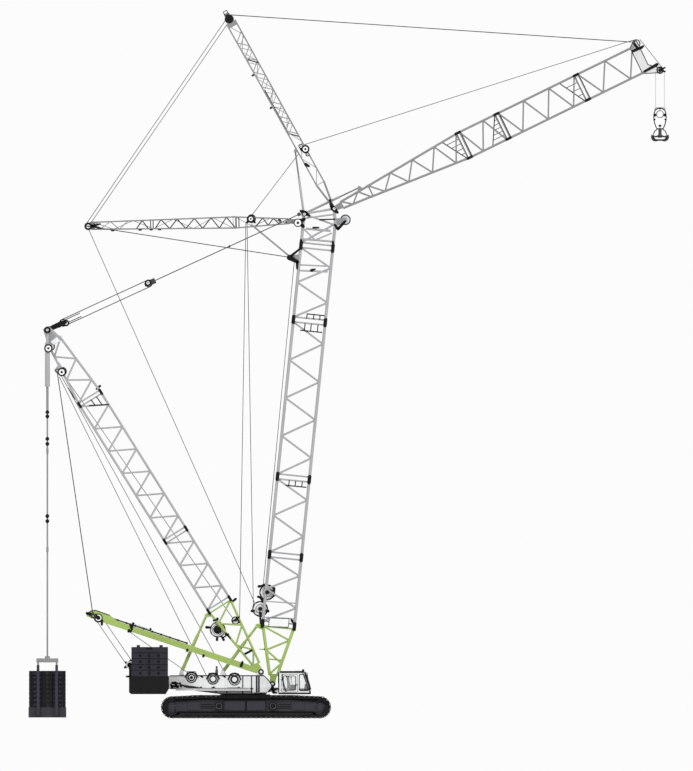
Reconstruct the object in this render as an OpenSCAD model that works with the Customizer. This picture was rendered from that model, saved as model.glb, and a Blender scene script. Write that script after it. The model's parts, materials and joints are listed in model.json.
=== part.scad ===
// Lattice boom crawler crane with luffing jib, derrick mast and hanging ballast, at half size.
// Millimetres. The slew axis stands at x = 0, y = 0, the ground is z = 0 and the boom leans to +x.

/* [Undercarriage] */
// Length of a track over its shoes
track_len = 6060; // [5700:10:6400]
// Height of the top run of a track
track_h = 783; // [740:1:830]
// Distance between the middle planes of the tracks
track_gauge = 3800; // [3600:10:4100]
// Width of a track shoe
shoe_w = 720; // [640:10:760]

/* [Upperworks] */
// Length of the deck behind the slew axis
deck_rear = 2736; // [2600:1:2900]
// Height of the deck frame
deck_h = 666; // [620:1:720]
// Width of the deck frame
deck_w = 1880; // [1860:10:2000]
// Height of the counterweight stacks above their base
stack_h = 1044; // [800:1:1200]
// Length of the cab
cab_len = 1170; // [1100:10:1300]
// Width of the cab
cab_w = 820; // [760:10:900]

/* [Boom] */
// Length from the foot pin to the jib pin
boom_len = 17248; // [15500:1:18500]
// Elevation of the boom as drawn
boom_elev = 84.2; // [82:0.1:86]
// Depth of the boom over its chord centres
boom_depth = 1152; // [1050:1:1200]
// Width of the boom over its chord centres
boom_w = 1100; // [1060:10:1120]

/* [Jib] */
// Length from the jib pin to the jib head
jib_len = 12310; // [11000:1:13500]
// Elevation of the jib as drawn
jib_elev = 26.1; // [20:0.1:34]
// Depth of the jib over its chord centres
jib_depth = 990; // [900:1:1050]
// Length of the front strut
strut_len = 7800; // [7200:10:8200]

/* [Derrick] */
// Length of the derrick mast
derrick_len = 14513; // [13500:1:15000]
// Lean of the derrick mast behind the vertical
derrick_lean = 32; // [29:0.1:34]
// Depth of the derrick mast over its chord centres
derrick_depth = 900; // [820:1:960]
// Length of the live mast
live_len = 6600; // [6200:10:7000]
// Height of the ballast blocks on the hanging tray
ballast_h = 1314; // [1100:1:1500]

/* [Hidden] */

lime = [0.56, 0.71, 0.22];
pale = [0.80, 0.81, 0.80];
dark = [0.20, 0.21, 0.24];
steel = [0.45, 0.46, 0.48];

// Room left between pieces that move past each other, and between a pin and its bore
gap = 8;
pin_fit = 1;
pin_r = 50;

// Track outline
track_x = 36;
track_r = 0.47 * track_h;
track_t = 95;
track_c = track_len / 2 - track_r;
track_y = track_gauge / 2;
top_flat = 0.53 * track_len / 2;
shoe_pitch = 180;

// Levels of the upperworks
deck_z = track_h + 63;
deck_top = deck_z + deck_h;
ring_r = 900;
cw_x0 = -deck_rear - 1440;
cw_x1 = -deck_rear;
cw_z = deck_z - 6;
cw_top = deck_top - 18;
cw_in = 1050;
cw_out = 2250;

// Pins of the boom and of the masts
boom_x = 990;
boom_z = deck_z + 360;
leg_y = boom_w / 2;
boss_w = 120;
derrick_x = 576;
derrick_z = deck_top + 130;
mast_y = 800;
stop_y = 350;
stop_x = -803;
dstop_x = -2286;
stop_z = deck_top + 126;

// Stations along the boom
base_s = 0.1238 * boom_len;
cut1_s = 0.2686 * boom_len;
cut2_s = 0.4323 * boom_len;
cut3_s = 0.7616 * boom_len;
cut4_s = 0.9175 * boom_len;
jib_n = 484;

// Stations along the jib
jbase_s = 0.4217 * jib_len;
jcut1_s = 0.5477 * jib_len;
jcut2_s = 0.8063 * jib_len;
jib_w = 840;

// Stations along the derrick mast
dbase_s = 0.1958 * derrick_len;
dcut1_s = 0.4003 * derrick_len;
dcut2_s = 0.8 * derrick_len;
dend_s = derrick_len - 413;
derrick_w = 1100;

// Chord and brace sizes
boom_c = 56;
boom_b = 36;
jib_c = 42;
jib_b = 30;
derrick_c = 42;
derrick_b = 33;
strut_c = 26;
strut_b = 12;

// Point at distance s along a line from p at elevation e and n to its front
function along(p, e, s, n) = [p[0] + s * cos(e) + n * sin(e), 0, p[2] + s * sin(e) - n * cos(e)];
function boom_at(s, n) = along([boom_x, 0, boom_z], boom_elev, s, n);
function jib_at(s, n) = along(boom_at(boom_len, jib_n), jib_elev, s, n);
function derrick_at(s, n) = along([derrick_x, 0, derrick_z], 90 + derrick_lean, s, n);
function at_y(p, y) = [p[0], y, p[2]];
function mix(a, b, t) = a + (b - a) * t;
function dir(a, b) = (b - a) / norm(b - a);
function lean_of(a, b) = atan2(b[0] - a[0], b[2] - a[2]);

jib_pin = boom_at(boom_len, jib_n);
rear_root = boom_at(0.9666 * boom_len, -807);
rear_tip = rear_root + [-7519, 0, -176];
front_lean = 29;
front_tip = jib_pin + strut_len * [-sin(front_lean), 0, cos(front_lean)];
live_lean = 71.6;
live_tip = [derrick_x, 0, derrick_z] + live_len * [-sin(live_lean), 0, cos(live_lean)];
live_eye = [derrick_x, 0, derrick_z] + (live_len - 230) * [-sin(live_lean), 0, cos(live_lean)];
derrick_tip = derrick_at(derrick_len, 0);
stay_eye = boom_at(boom_len - 330, -760);
stop_foot = [stop_x, 0, stop_z];
stop_head = boom_at(base_s - 100, -760);
dstop_foot = [dstop_x, 0, stop_z];
dstop_head = derrick_at(dbase_s - 80, -derrick_depth / 2 - 150);
head_beam = [-590, 0, boom_len - 295];
sstop_foot = boom_at(head_beam[2], head_beam[0]);
sstop_head = along(jib_pin, 90 + front_lean, 2500, -223);
jstop_head = jib_at(1143, -290);
tip_pin = jib_at(jib_len + 413, 681);

// Bar between two points
module rod(a, b, r, fn = 8) {
  d = b - a;
  l = norm(d);
  translate(a)
    rotate([0, acos(d[2] / l), atan2(d[1], d[0])])
      cylinder(r = r, h = l, $fn = fn);
}

// Round bar across the machine at a point, from y0 to y1
module shaft(p, r, y0, y1) {
  translate([p[0], y1, p[2]])
    rotate([90, 0, 0])
      cylinder(r = r, h = y1 - y0, $fn = 32);
}

// Plate in the x z plane from y0 to y1
module plate(y0, y1) {
  translate([0, y1, 0])
    rotate([90, 0, 0])
      linear_extrude(y1 - y0)
        children();
}

// Lug plate with a round end at p that stands on the edge from f0 to f1
module lug(p, r, f0, f1, y0, y1) {
  c = [p[0], p[2]];
  d = c - (f0 + f1) / 2;
  hand = cross(d, f1 - f0) < 0 ? 1 : -1;
  side = hand * r * [-d[1], d[0]] / norm(d);
  plate(y0, y1) {
    translate(c)
      circle(r = r, $fn = 32);
    polygon([f0, f1, c - side, c + side]);
  }
}

// Copies on both sides of the machine
module both() {
  children();
  mirror([0, 1, 0])
    children();
}

// Frame with z from p towards q, x to the front or up, y across
module toward(p, q) {
  translate(p)
    rotate([0, lean_of(p, q), 0])
      children();
}

module on_boom() {
  toward(boom_at(0, 0), boom_at(1, 0))
    children();
}

module on_jib() {
  toward(jib_pin, jib_at(1, 0))
    children();
}

module on_derrick() {
  toward(derrick_at(0, 0), derrick_at(1, 0))
    children();
}

// Corner k of a tapering lattice at the share t of its length
function corner(k, t, z0, z1, d, w) =
  [(k == 0 || k == 3 ? -1 : 1) * mix(d[0], d[1], t) / 2, (k < 2 ? -1 : 1) * mix(w[0], w[1], t) / 2,
   mix(z0, z1, t)];

// Lattice with four chords and zigzag braces, with square connectors at its ends. The rear face has no
// braces in the bays from the first to the last of open
module lattice(z0, z1, d, w, bays, rc, rb, ends = [true, true], faces = [0, 1, 2, 3], fn = 12,
    open = [1, 0]) {
  m = 1.6 * rc / (z1 - z0);
  for (k = [0 : 3]) {
    rod(corner(k, m / 2, z0, z1, d, w), corner(k, 1 - m / 2, z0, z1, d, w), rc, fn);
    if (ends[0])
      translate(corner(k, 0, z0, z1, d, w) + [0, 0, 1.2 * rc])
        cube([2.4 * rc, 2.4 * rc, 2.4 * rc], center = true);
    if (ends[1])
      translate(corner(k, 1, z0, z1, d, w) - [0, 0, 1.2 * rc])
        cube([2.4 * rc, 2.4 * rc, 2.4 * rc], center = true);
  }
  for (k = faces) {
    for (i = [0 : bays - 1]) {
      t0 = mix(m, 1 - m, i / bays);
      t1 = mix(m, 1 - m, (i + 1) / bays);
      flip = (i + (k == 2 ? 1 : 0)) % 2;
      if (k < 3 || i < open[0] || i > open[1])
        rod(corner((k + flip) % 4, t0, z0, z1, d, w), corner((k + 1 - flip) % 4, t1, z0, z1, d, w),
          (1 - 0.06 * (i % 2)) * rb, 6);
    }
    if (ends[0])
      rod(corner(k, m, z0, z1, d, w), corner((k + 1) % 4, m, z0, z1, d, w), 0.86 * rb, 6);
  }
  for (k = ends[1] ? [0 : 3] : [])
    rod(corner(k, 1 - m, z0, z1, d, w), corner((k + 1) % 4, 1 - m, z0, z1, d, w), 0.86 * rb, 6);
}

// Side outline of a track loop, drawn in by t
module track_outline(t) {
  for (s = [-1, 1])
    translate([track_x + s * track_c, track_r])
      circle(r = track_r - t, $fn = 48);
  polygon([[track_x - track_c, t], [track_x + track_c, t], [track_x + track_c, 2 * track_r - t],
    [track_x + top_flat, track_h - t], [track_x - top_flat, track_h - t],
    [track_x - track_c, 2 * track_r - t]]);
}

// Slots between the shoes, in the outline of the loop
module shoe_slots() {
  slot = [24, 34];
  n = floor(track_c / shoe_pitch);
  for (i = [-n : n])
    translate([track_x + i * shoe_pitch, 0])
      square([slot[0], 2 * slot[1]], center = true);
  m = floor(top_flat / shoe_pitch);
  for (i = [-m : m])
    translate([track_x + i * shoe_pitch, track_h])
      square([slot[0], 2 * slot[1]], center = true);
  run = track_c - top_flat;
  fall = atan2(track_h - 2 * track_r, run);
  for (s = [-1, 1], i = [1 : floor(run / shoe_pitch)])
    translate([track_x + s * (top_flat + i * shoe_pitch - 40),
      mix(track_h, 2 * track_r, (i * shoe_pitch - 40) / run)])
      rotate(-s * fall)
        square([slot[0], 2 * slot[1]], center = true);
  for (s = [-1, 1], a = [-75 : 30 : 75])
    translate([track_x + s * track_c, track_r])
      rotate(s > 0 ? a : 180 + a)
        translate([track_r, 0])
          square([2 * slot[1], slot[0]], center = true);
}

module track(y) {
  color(dark)
    plate(y - shoe_w / 2, y + shoe_w / 2)
      difference() {
        track_outline(0);
        track_outline(track_t);
        shoe_slots();
      }
}

module track_left() {
  track(track_y);
}

module track_right() {
  track(-track_y);
}

// Track frame with its end wheels, bottom rollers and drive discs
module track_frame(y) {
  wheel_r = track_r - track_t;
  roller_r = 70;
  out = y > 0 ? 1 : -1;
  color(dark) {
    plate(y - 200, y + 200)
      polygon([[track_x - track_c + 120, 210], [track_x + track_c - 120, 210],
        [track_x + track_c - 120, 560], [track_x + top_flat, track_h - track_t - 60],
        [track_x - top_flat, track_h - track_t - 60], [track_x - track_c + 120, 560]]);
    for (s = [-1, 1]) {
      shaft([track_x + s * track_c, 0, track_r], wheel_r, y - 150, y + 150);
      shaft([track_x + s * track_c, 0, track_r], 110, y - 260, y + 260);
      shaft([track_x + s * 972, 0, 414], 180, y - 260, y + 260);
    }
    for (i = [-5.5 : 5.5])
      shaft([track_x + i * 390, 0, track_t + roller_r], roller_r, y - 130, y + 130);
    for (g = [-165, 145])
      plate(y + g, y + g + 20)
        polygon([[track_x - track_c + 260, track_t + 8], [track_x + track_c - 260, track_t + 8],
          [track_x + track_c - 260, 230], [track_x - track_c + 260, 230]]);
    plate(y - 62, y + 62)
      intersection() {
        track_outline(track_t + 6);
        translate([track_x - track_c + 150, 520])
          square([2 * track_c - 300, track_h - 520]);
      }
    for (i = [-1, 1])
      translate([track_x + i * 1300 - 150, y - 120, track_h - track_t - 70])
        cube([300, 240, 70]);
    translate([track_x - 900, out > 0 ? y - 200 - 140 : y + 200, 260])
      cube([1800, 140, 300]);
  }
}

module track_frame_left() {
  track_frame(track_y);
}

module track_frame_right() {
  track_frame(-track_y);
}

// Cross frame between the tracks with the slew ring's lower half
module carbody() {
  seat = track_y - 340;
  color(dark) {
    difference() {
      translate([track_x - 1000, -1200, 240])
        cube([2000, 2400, 360]);
      for (s = [-1, 1])
        translate([track_x + s * 620 - 200, -900, 200])
          cube([400, 1800, 120]);
    }
    for (x = [-1, 1])
      translate([track_x + x * 600 - 250, -seat, 270])
        cube([500, 2 * seat, 280]);
    translate([0, 0, 560])
      cylinder(r = ring_r, h = deck_z - gap - 560, $fn = 64);
    translate([0, 0, 560])
      cylinder(r = ring_r - 200, h = deck_z - 560, $fn = 64);
  }
}

// Deck frame with the lugs of the boom, the derrick mast and the backstops
module deck() {
  well_y = deck_w / 2 - 300;
  color(pale) {
    difference() {
      plate(-deck_w / 2, deck_w / 2)
        polygon([[-deck_rear, deck_z + 190], [-deck_rear, deck_top], [702, deck_top], [986, boom_z - 80],
          [756, deck_z], [-803, deck_z], [-2268, deck_z + 190]]);
      for (w = winches)
        translate([w[0] - w[2] - 60, -well_y, w[1] - w[2] - 60])
          cube([2 * w[2] + 120, 2 * well_y, 2 * w[2] + 400]);
      translate([620, -leg_y - 90, deck_z - 10])
        cube([600, 2 * leg_y + 180, deck_h + 20]);
    }
    both() {
      lug([boom_x, 0, boom_z], 110, [560, deck_z + 120], [640, deck_z], leg_y - 110, leg_y - 60 - gap);
      lug([boom_x, 0, boom_z], 110, [560, deck_z + 120], [640, deck_z], leg_y + 60 + gap, leg_y + 110);
      shaft([boom_x, 0, boom_z], pin_r, leg_y - 110, leg_y + 110);
      lug([derrick_x, 0, derrick_z], 110, [derrick_x - 220, deck_top - 60], [derrick_x + 120, deck_top - 60],
        leg_y - 110, leg_y - 60 - gap);
      lug([derrick_x, 0, derrick_z], 110, [derrick_x - 220, deck_top - 60], [derrick_x + 120, deck_top - 60],
        leg_y + 60 + gap, mast_y - 60 - gap);
      lug([derrick_x, 0, derrick_z], 110, [derrick_x - 220, deck_top - 60], [derrick_x + 120, deck_top - 60],
        mast_y + 60 + gap, mast_y + 110);
      shaft([derrick_x, 0, derrick_z], pin_r, leg_y - 110, mast_y + 110);
      for (s = [-1, 1]) {
        ear = stop_y + s * 89;
        for (p = [stop_foot, dstop_foot])
          lug(p, 70, [p[0] - 100, deck_top - 20], [p[0] + 100, deck_top - 20], ear - 20, ear + 20);
      }
      shaft(stop_foot, 35, stop_y - 109, stop_y + 109);
      shaft(dstop_foot, 35, stop_y - 109, stop_y + 109);
    }
    translate([300, -deck_w / 2 - 260, deck_z + 60])
      cube([cab_x - 300, 280, 180]);
    translate([-2500, -deck_w / 2 - 420, deck_z + 120])
      cube([2700, 430, 40]);
    translate([-2500, deck_w / 2 - 10, deck_z + 200])
      cube([2700, 620, 40]);
  }
}

// Winch drums on the deck, each with its place along the deck, its height and its drum radius
winches = [[-1926, deck_top - 72, 216], [-1152, deck_top - 126, 234], [-378, deck_top - 144, 252]];

module winch(w) {
  well_y = deck_w / 2 - 300;
  p = [w[0], 0, w[1]];
  color(steel) {
    shaft(p, 0.8 * w[2], -well_y + 40, well_y - 40);
    shaft(p, 60, -well_y, well_y);
    for (s = [-1, 1]) {
      y = s * (well_y - 70);
      shaft(p, w[2], y - 20, y + 20);
    }
  }
}

module winch_rear() {
  winch(winches[0]);
}

module winch_middle() {
  winch(winches[1]);
}

module winch_front() {
  winch(winches[2]);
}

module engine() {
  color(steel)
    translate([-1700, deck_w / 2 + 130, deck_z + 240])
      cube([1100, 350, 300]);
}

// Cover over the engine, open below, with cooling slots in its outer side
module engine_cover() {
  size = [2400, 540, 420];
  translate([-2400, deck_w / 2 + 40, deck_z + 240])
    color(pale)
      difference() {
        cube(size);
        translate([20, 20, -10])
          cube([size[0] - 40, size[1] - 40, size[2] - 10]);
        for (i = [0 : 7])
          translate([180 + i * 110, size[1] - 30, 100])
            cube([50, 60, 220]);
      }
}

// Counterweight base plate with the posts of the mast tackle
module counterweight_base() {
  color(dark) {
    plate(-cw_out, cw_out)
      polygon([[cw_x0, cw_z + 60], [cw_x0, cw_top], [cw_x1, cw_top], [cw_x1, cw_z + 200], [cw_x1 - 120, cw_z],
        [cw_x0 + 80, cw_z]]);
    both() {
      translate([cw_x0, mast_y - 130, cw_top])
        cube([160, 40, 460]);
      translate([cw_x0, mast_y + 90, cw_top])
        cube([160, 40, 460]);
      shaft([cw_x0 + 60, 0, cw_top + 396], 30, mast_y - 130, mast_y + 130);
      for (y = [-45, 45])
        shaft([cw_x0 + 60, 0, cw_top + 396], 144, mast_y + y - 25, mast_y + y + 25);
    }
  }
}

// Stack of counterweight slabs with open joints along its sides
module counterweight_stack(y0, y1) {
  slab = stack_h / 5;
  x0 = cw_x0 + 86;
  x1 = cw_x1 - 36;
  color(dark) {
    difference() {
      translate([x0, y0, cw_top])
        cube([x1 - x0, y1 - y0, stack_h]);
      for (i = [1 : 4])
        difference() {
          translate([x0 - 10, y0 - 10, cw_top + i * slab - 6])
            cube([x1 - x0 + 20, y1 - y0 + 20, 12]);
          translate([x0 + 16, y0 + 16, cw_top + i * slab - 20])
            cube([x1 - x0 - 32, y1 - y0 - 32, 40]);
        }
    }
    for (x = [x0 + 250, x1 - 250])
      translate([x, (y0 + y1) / 2, cw_top + stack_h])
        cylinder(r = 60, h = 70, $fn = 24);
  }
}

module counterweight_left() {
  counterweight_stack(cw_in, cw_out);
}

module counterweight_right() {
  counterweight_stack(-cw_out, -cw_in);
}

// Cab on an arm at the right front corner of the deck
cab_x = 1199;
cab_y = -deck_w / 2 + 180;
cab_z = deck_z - 6;
cab_h = 824;
wall = 24;
door_x = cab_x + 110;
door_l = 0.5 * cab_len;
door_z = cab_z + 70;
door_h = cab_h - 170;
hinge_y = cab_y - cab_w - 18;
hinge_z = [door_z + 140, door_z + door_h - 140];

// Side outline of the cab, drawn in by t
module cab_outline(t) {
  polygon([[cab_x + t, cab_z + t], [cab_x + t, cab_z + cab_h - t],
    [cab_x + cab_len - 205 - 0.75 * t, cab_z + cab_h - t],
    [cab_x + cab_len - 14 - 1.05 * t, cab_z + 150], [cab_x + cab_len - t, cab_z + t]]);
}

// Cut that takes the roof panel off the side outline
module roof_cut() {
  translate([cab_x - 10, cab_y - cab_w - 10, cab_z + cab_h - wall])
    cube([cab_len + 20, cab_w + 20, wall + 10]);
}

// Floor, rear wall and slanted front frame of the cab, with the rear window and the windscreen
module cab_body() {
  mid_y = cab_y - cab_w / 2;
  color(pale)
    difference() {
      plate(cab_y - cab_w + wall, cab_y - wall)
        cab_outline(0);
      plate(cab_y - cab_w, cab_y)
        cab_outline(wall);
      roof_cut();
      translate([cab_x + cab_len - 300, mid_y - cab_w / 2 + 60, cab_z + 180])
        cube([400, cab_w - 120, cab_h - 260]);
      translate([cab_x - 20, mid_y - cab_w / 2 + 90, cab_z + 400])
        cube([60, cab_w - 180, 320]);
    }
}

// Inner side panel of the cab with its window
module cab_side_left() {
  color(pale)
    difference() {
      plate(cab_y - wall, cab_y)
        cab_outline(0);
      roof_cut();
      plate(cab_y - wall - 10, cab_y + 10)
        polygon([[cab_x + 150, cab_z + 200], [cab_x + 150, cab_z + cab_h - 110],
          [cab_x + cab_len - 250, cab_z + cab_h - 110], [cab_x + cab_len - 95, cab_z + 200]]);
    }
}

// Outer side panel of the cab with the doorway, the front window and the pins of the door
module cab_side_right() {
  y = cab_y - cab_w;
  color(pale) {
    difference() {
      plate(y, y + wall)
        cab_outline(0);
      roof_cut();
      translate([door_x, y - 10, door_z])
        cube([door_l, wall + 20, door_h]);
      plate(y - 10, y + wall + 10)
        polygon([[door_x + door_l + 60, cab_z + 130], [door_x + door_l + 60, cab_z + cab_h - 110],
          [cab_x + cab_len - 250, cab_z + cab_h - 110], [cab_x + cab_len - 80, cab_z + 130]]);
    }
    for (z = hinge_z) {
      translate([door_x, hinge_y, z - 45])
        cylinder(r = 14, h = 40, $fn = 24);
      translate([door_x - 60, hinge_y - 6, z - 45])
        cube([60, y - hinge_y + 8, 40]);
      translate([door_x, hinge_y, z - 10])
        cylinder(r = 7, h = 80, $fn = 24);
    }
  }
}

module cab_roof() {
  color(pale)
    translate([cab_x, cab_y - cab_w, cab_z + cab_h - wall])
      difference() {
        cube([cab_len - 205, cab_w, wall]);
        translate([cab_len - 560, 120, -10])
          cube([280, cab_w - 240, wall + 20]);
      }
}

// Door in the outer side of the cab, hung on its rear edge
module cab_door() {
  y = cab_y - cab_w;
  color(pale)
    difference() {
      union() {
        translate([door_x + 6, y, door_z + 6])
          cube([door_l - 12, wall - 2, door_h - 12]);
        for (z = hinge_z) {
          translate([door_x, hinge_y, z])
            cylinder(r = 14, h = 60, $fn = 24);
          translate([door_x, hinge_y - 6, z])
            cube([60, y - hinge_y + 8, 60]);
        }
      }
      translate([door_x + 70, y - 10, door_z + 75])
        cube([door_l - 140, wall + 20, door_h - 145]);
      for (z = hinge_z)
        translate([door_x, hinge_y, z - 10])
          cylinder(r = 7 + pin_fit, h = 80, $fn = 24);
    }
}

module cab_seat() {
  x = cab_x + 330;
  y = cab_y - cab_w / 2;
  z = cab_z + wall;
  color(dark) {
    translate([x + 60, y - 110, z])
      cube([200, 220, 200]);
    translate([x, y - 140, z + 190])
      cube([330, 280, 70]);
    translate([x - 10, y - 130, z + 190])
      cube([80, 260, 420]);
    translate([x + 40, y - 220, z + 190])
      cube([260, 90, 130]);
    translate([x + 40, y + 130, z + 190])
      cube([260, 90, 130]);
  }
}

// Foot of a leg: an eye on the pin with a plate that spreads to the chords at s1
module foot(y, r, w, half, s1) {
  shaft([0, 0, 0], r, y - w / 2, y + w / 2);
  plate(y - 26, y + 26)
    polygon([[-0.9 * r, 0], [0.9 * r, 0], [half, s1], [-half, s1]]);
}

// Pin bores of both legs
module pin_bores(p, r, y) {
  both()
    shaft(p, r + pin_fit, y - 200, y + 200);
}

// Winch drum between two lugs
module drum(p, r, half) {
  shaft(p, 0.78 * r, -half + 50, half - 50);
  shaft(p, 55, -half, half);
  for (s = [-1, 1])
    shaft(p, r, s * (half - 70) - 18, s * (half - 70) + 18);
}

boom_box = [boom_depth, boom_depth];
boom_wide = [boom_w, boom_w];
foot_s = 260;
foot_d = 115 + (boom_depth - 115) * foot_s / base_s;
low_winch = [-714, 0, base_s + 510];
high_winch = [-523, 0, base_s + 1130];
prop_lug = [-889, 0, cut4_s - 483];

module boom_base() {
  color(lime)
    on_boom()
      difference() {
        union() {
          lattice(foot_s, base_s, [foot_d, boom_depth], boom_wide, 4, boom_c, boom_b, [false, true]);
          both() {
            foot(leg_y, 100, boss_w, 138, foot_s + 110);
            lug([-760, 0, base_s - 100], 70, [-500, base_s - 20], [-480, base_s - 260],
              leg_y - 50, leg_y - 10);
          }
        }
        pin_bores([0, 0, 0], pin_r, leg_y);
      }
}

module boom_insert_1() {
  color(pale)
    on_boom() {
      lattice(base_s, cut1_s, boom_box, boom_wide, 4, boom_c, boom_b, [true, true], [0, 1, 2]);
      both()
        for (w = [low_winch, high_winch])
          lug(w, 90, [-boom_depth / 2 + 20, w[2] - 150], [-boom_depth / 2 + 20, w[2] + 150],
            leg_y - 64, leg_y - 10);
    }
}

module boom_insert_2() {
  color(pale)
    on_boom()
      lattice(cut1_s, cut2_s, boom_box, boom_wide, 4, boom_c, boom_b);
}

module boom_insert_3() {
  color(pale)
    on_boom()
      lattice(cut2_s, cut3_s, boom_box, boom_wide, 8, boom_c, boom_b);
}

// Upper boom section with the lugs of the rear strut's prop and stays
module boom_insert_4() {
  color(pale)
    on_boom() {
      lattice(cut3_s, cut4_s, boom_box, boom_wide, 4, boom_c, boom_b);
      both() {
        lug(prop_lug, 70, [-boom_depth / 2, prop_lug[2] - 160], [-boom_depth / 2, prop_lug[2] + 160],
          leg_y - 50, leg_y - 10);
        shaft(prop_lug, 30, leg_y - 215, leg_y - 10);
      }
    }
}

// Boom head with the jib pin, the lugs of the rear strut and the nose sheave
module boom_head() {
  top = boom_len - 448;
  root = [-807, 0, 0.9666 * boom_len];
  nose = [922, 0, boom_len - 357];
  color(pale)
    on_boom() {
      lattice(cut4_s, top, boom_box, boom_wide, 1, boom_c, boom_b, [true, false], [0, 1, 2]);
      both() {
        rod([-boom_depth / 2, leg_y, top - 100], at_y(head_beam, leg_y), boom_c, 12);
        rod([boom_depth / 2, leg_y, top - 100], [jib_n, leg_y, boom_len], boom_c, 12);
        rod(at_y(head_beam, leg_y), [jib_n, leg_y, boom_len], 40, 12);
        rod(at_y(head_beam, leg_y), [boom_depth / 2, leg_y, top - 140], 34, 8);
        shaft([jib_n, 0, boom_len], 115, leg_y - 36, leg_y + 64);
        shaft(head_beam, 100, leg_y - 47, leg_y + 47);
        lug(root, 80, [-boom_depth / 2 + 10, root[2] - 160], [-boom_depth / 2 + 10, root[2] + 120],
          leg_y - 50, leg_y - 10);
        shaft(root, 40, leg_y - 160, leg_y - 10);
        lug(nose, 60, [boom_depth / 2 - 40, nose[2] - 340], [boom_depth / 2 - 40, nose[2] + 20], 90, 120);
      }
      shaft([jib_n, 0, boom_len], pin_r, -leg_y, leg_y);
      shaft(head_beam, pin_r, -leg_y, leg_y);
      for (s = [-340, 0])
        rod([boom_depth / 2 - 30, -leg_y, nose[2] + s], [boom_depth / 2 - 30, leg_y, nose[2] + s], 36, 12);
      shaft(nose, 36, -120, 120);
      shaft(nose, 180, -40, 40);
    }
}

module boom_winch_low() {
  color(steel)
    on_boom()
      drum(low_winch, 288, leg_y - 64);
}

module boom_winch_high() {
  color(steel)
    on_boom()
      drum(high_winch, 288, leg_y - 64);
}

// Place beside p, square to the line from p to q
function beside(p, q, r) = p + r * [dir(p, q)[2], 0, -dir(p, q)[0]];

// Rope from the middle sheave of the rear strut to the low winch, with its winding on the drum
module boom_rope() {
  r = 12;
  winding = 245;
  winch = boom_at(low_winch[2], low_winch[0]);
  along_strut = dir(rear_root, rear_tip);
  middle = rear_root + 1634 * along_strut + 120 * [along_strut[2], 0, -along_strut[0]];
  color(steel)
    difference() {
      union() {
        shaft(winch, winding + 11, -380, 380);
        rod(at_y(beside(middle, winch, 150 + r + 2), -30), at_y(beside(winch, middle, -winding), -30), r, 12);
      }
      shaft(winch, 226, -400, 400);
    }
}

// Rear strut with its prop, pinned behind the boom head
module rear_strut() {
  l = norm(rear_tip - rear_root);
  knee = 0.3 * l;
  prop_z = 1634;
  foot_p = boom_at(prop_lug[2], prop_lug[0]);
  color(pale) {
    toward(rear_root, rear_tip) {
      lattice(300, knee, [170, 400], [860, 560], 3, strut_c, strut_b, [false, true]);
      lattice(knee, l - 150, [400, 250], [560, 400], 7, strut_c, strut_b);
      both() {
        difference() {
          foot(leg_y - 108, 70, 80, 95, 360);
          shaft([0, 0, 0], 40 + pin_fit, 0, leg_y);
        }
        difference() {
          plate(180, 210)
            polygon([[-140, l - 220], [140, l - 220], [90, l + 120], [-90, l + 120]]);
          shaft([0, 0, l + 60], 25 + pin_fit, 0, 300);
        }
      }
      shaft([0, 0, l - 130], 30, -210, 210);
      shaft([0, 0, l - 130], 130, -50, 50);
      shaft([0, 0, prop_z], 30, -330, 330);
      shaft([120, 0, prop_z], 150, -40, 40);
      shaft([120, 0, prop_z], 30, -330, 330);
    }
    both()
      difference() {
        union() {
          rod(at_y(rear_root + prop_z * dir(rear_root, rear_tip) - [0, 0, 100], leg_y - 240),
            at_y(foot_p, leg_y - 100), 30, 12);
          shaft(foot_p, 60, leg_y - 130, leg_y - 58);
        }
        shaft(foot_p, 30 + pin_fit, 0, leg_y);
      }
    rod(at_y(rear_root + prop_z * dir(rear_root, rear_tip) - [0, 0, 100], -leg_y + 200),
      at_y(rear_root + prop_z * dir(rear_root, rear_tip) - [0, 0, 100], leg_y - 200), 30, 12);
  }
}

// Stays from the tip of the rear strut to the boom
module rear_pendants() {
  a = rear_tip + 60 * dir(rear_root, rear_tip);
  b = boom_at(prop_lug[2], prop_lug[0]);
  color(steel) {
    shaft(a, 25, -260, 260);
    both()
      difference() {
        union() {
          rod(at_y(a, 240), at_y(b, leg_y - 180), 16, 12);
          shaft(b, 55, leg_y - 205, leg_y - 150);
        }
        shaft(b, 30 + pin_fit, 0, leg_y);
      }
  }
}

jib_box = [jib_depth, jib_depth];
jib_wide = [jib_w, jib_w];
knee_s = 0.113 * jib_len;
jib_top = [-556, 0, jib_len + 65];
tip_local = [681, 0, jib_len + 413];

// Tapering jib foot section with the lugs of its backstops
module jib_base() {
  y = jib_w / 2;
  color(pale)
    on_jib()
      difference() {
        union() {
          lattice(260, knee_s + 60, [240, 400], jib_wide, 3, jib_c, jib_b, [false, false], [0, 1, 2]);
          lattice(knee_s, jbase_s, [400, jib_depth], jib_wide, 8, jib_c, jib_b);
          both() {
            foot(y, 90, boss_w, 130, 340);
            lug([-290, 0, 1143], 60, [-150, 1280], [-150, 1000], y - 20, y + 20);
          }
        }
        pin_bores([0, 0, 0], pin_r, y);
      }
}

module jib_insert_1() {
  color(pale)
    on_jib()
      lattice(jbase_s, jcut1_s, jib_box, jib_wide, 3, jib_c, jib_b);
}

module jib_insert_2() {
  color(pale)
    on_jib()
      lattice(jcut1_s, jcut2_s, jib_box, jib_wide, 6, jib_c, jib_b);
}

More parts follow.
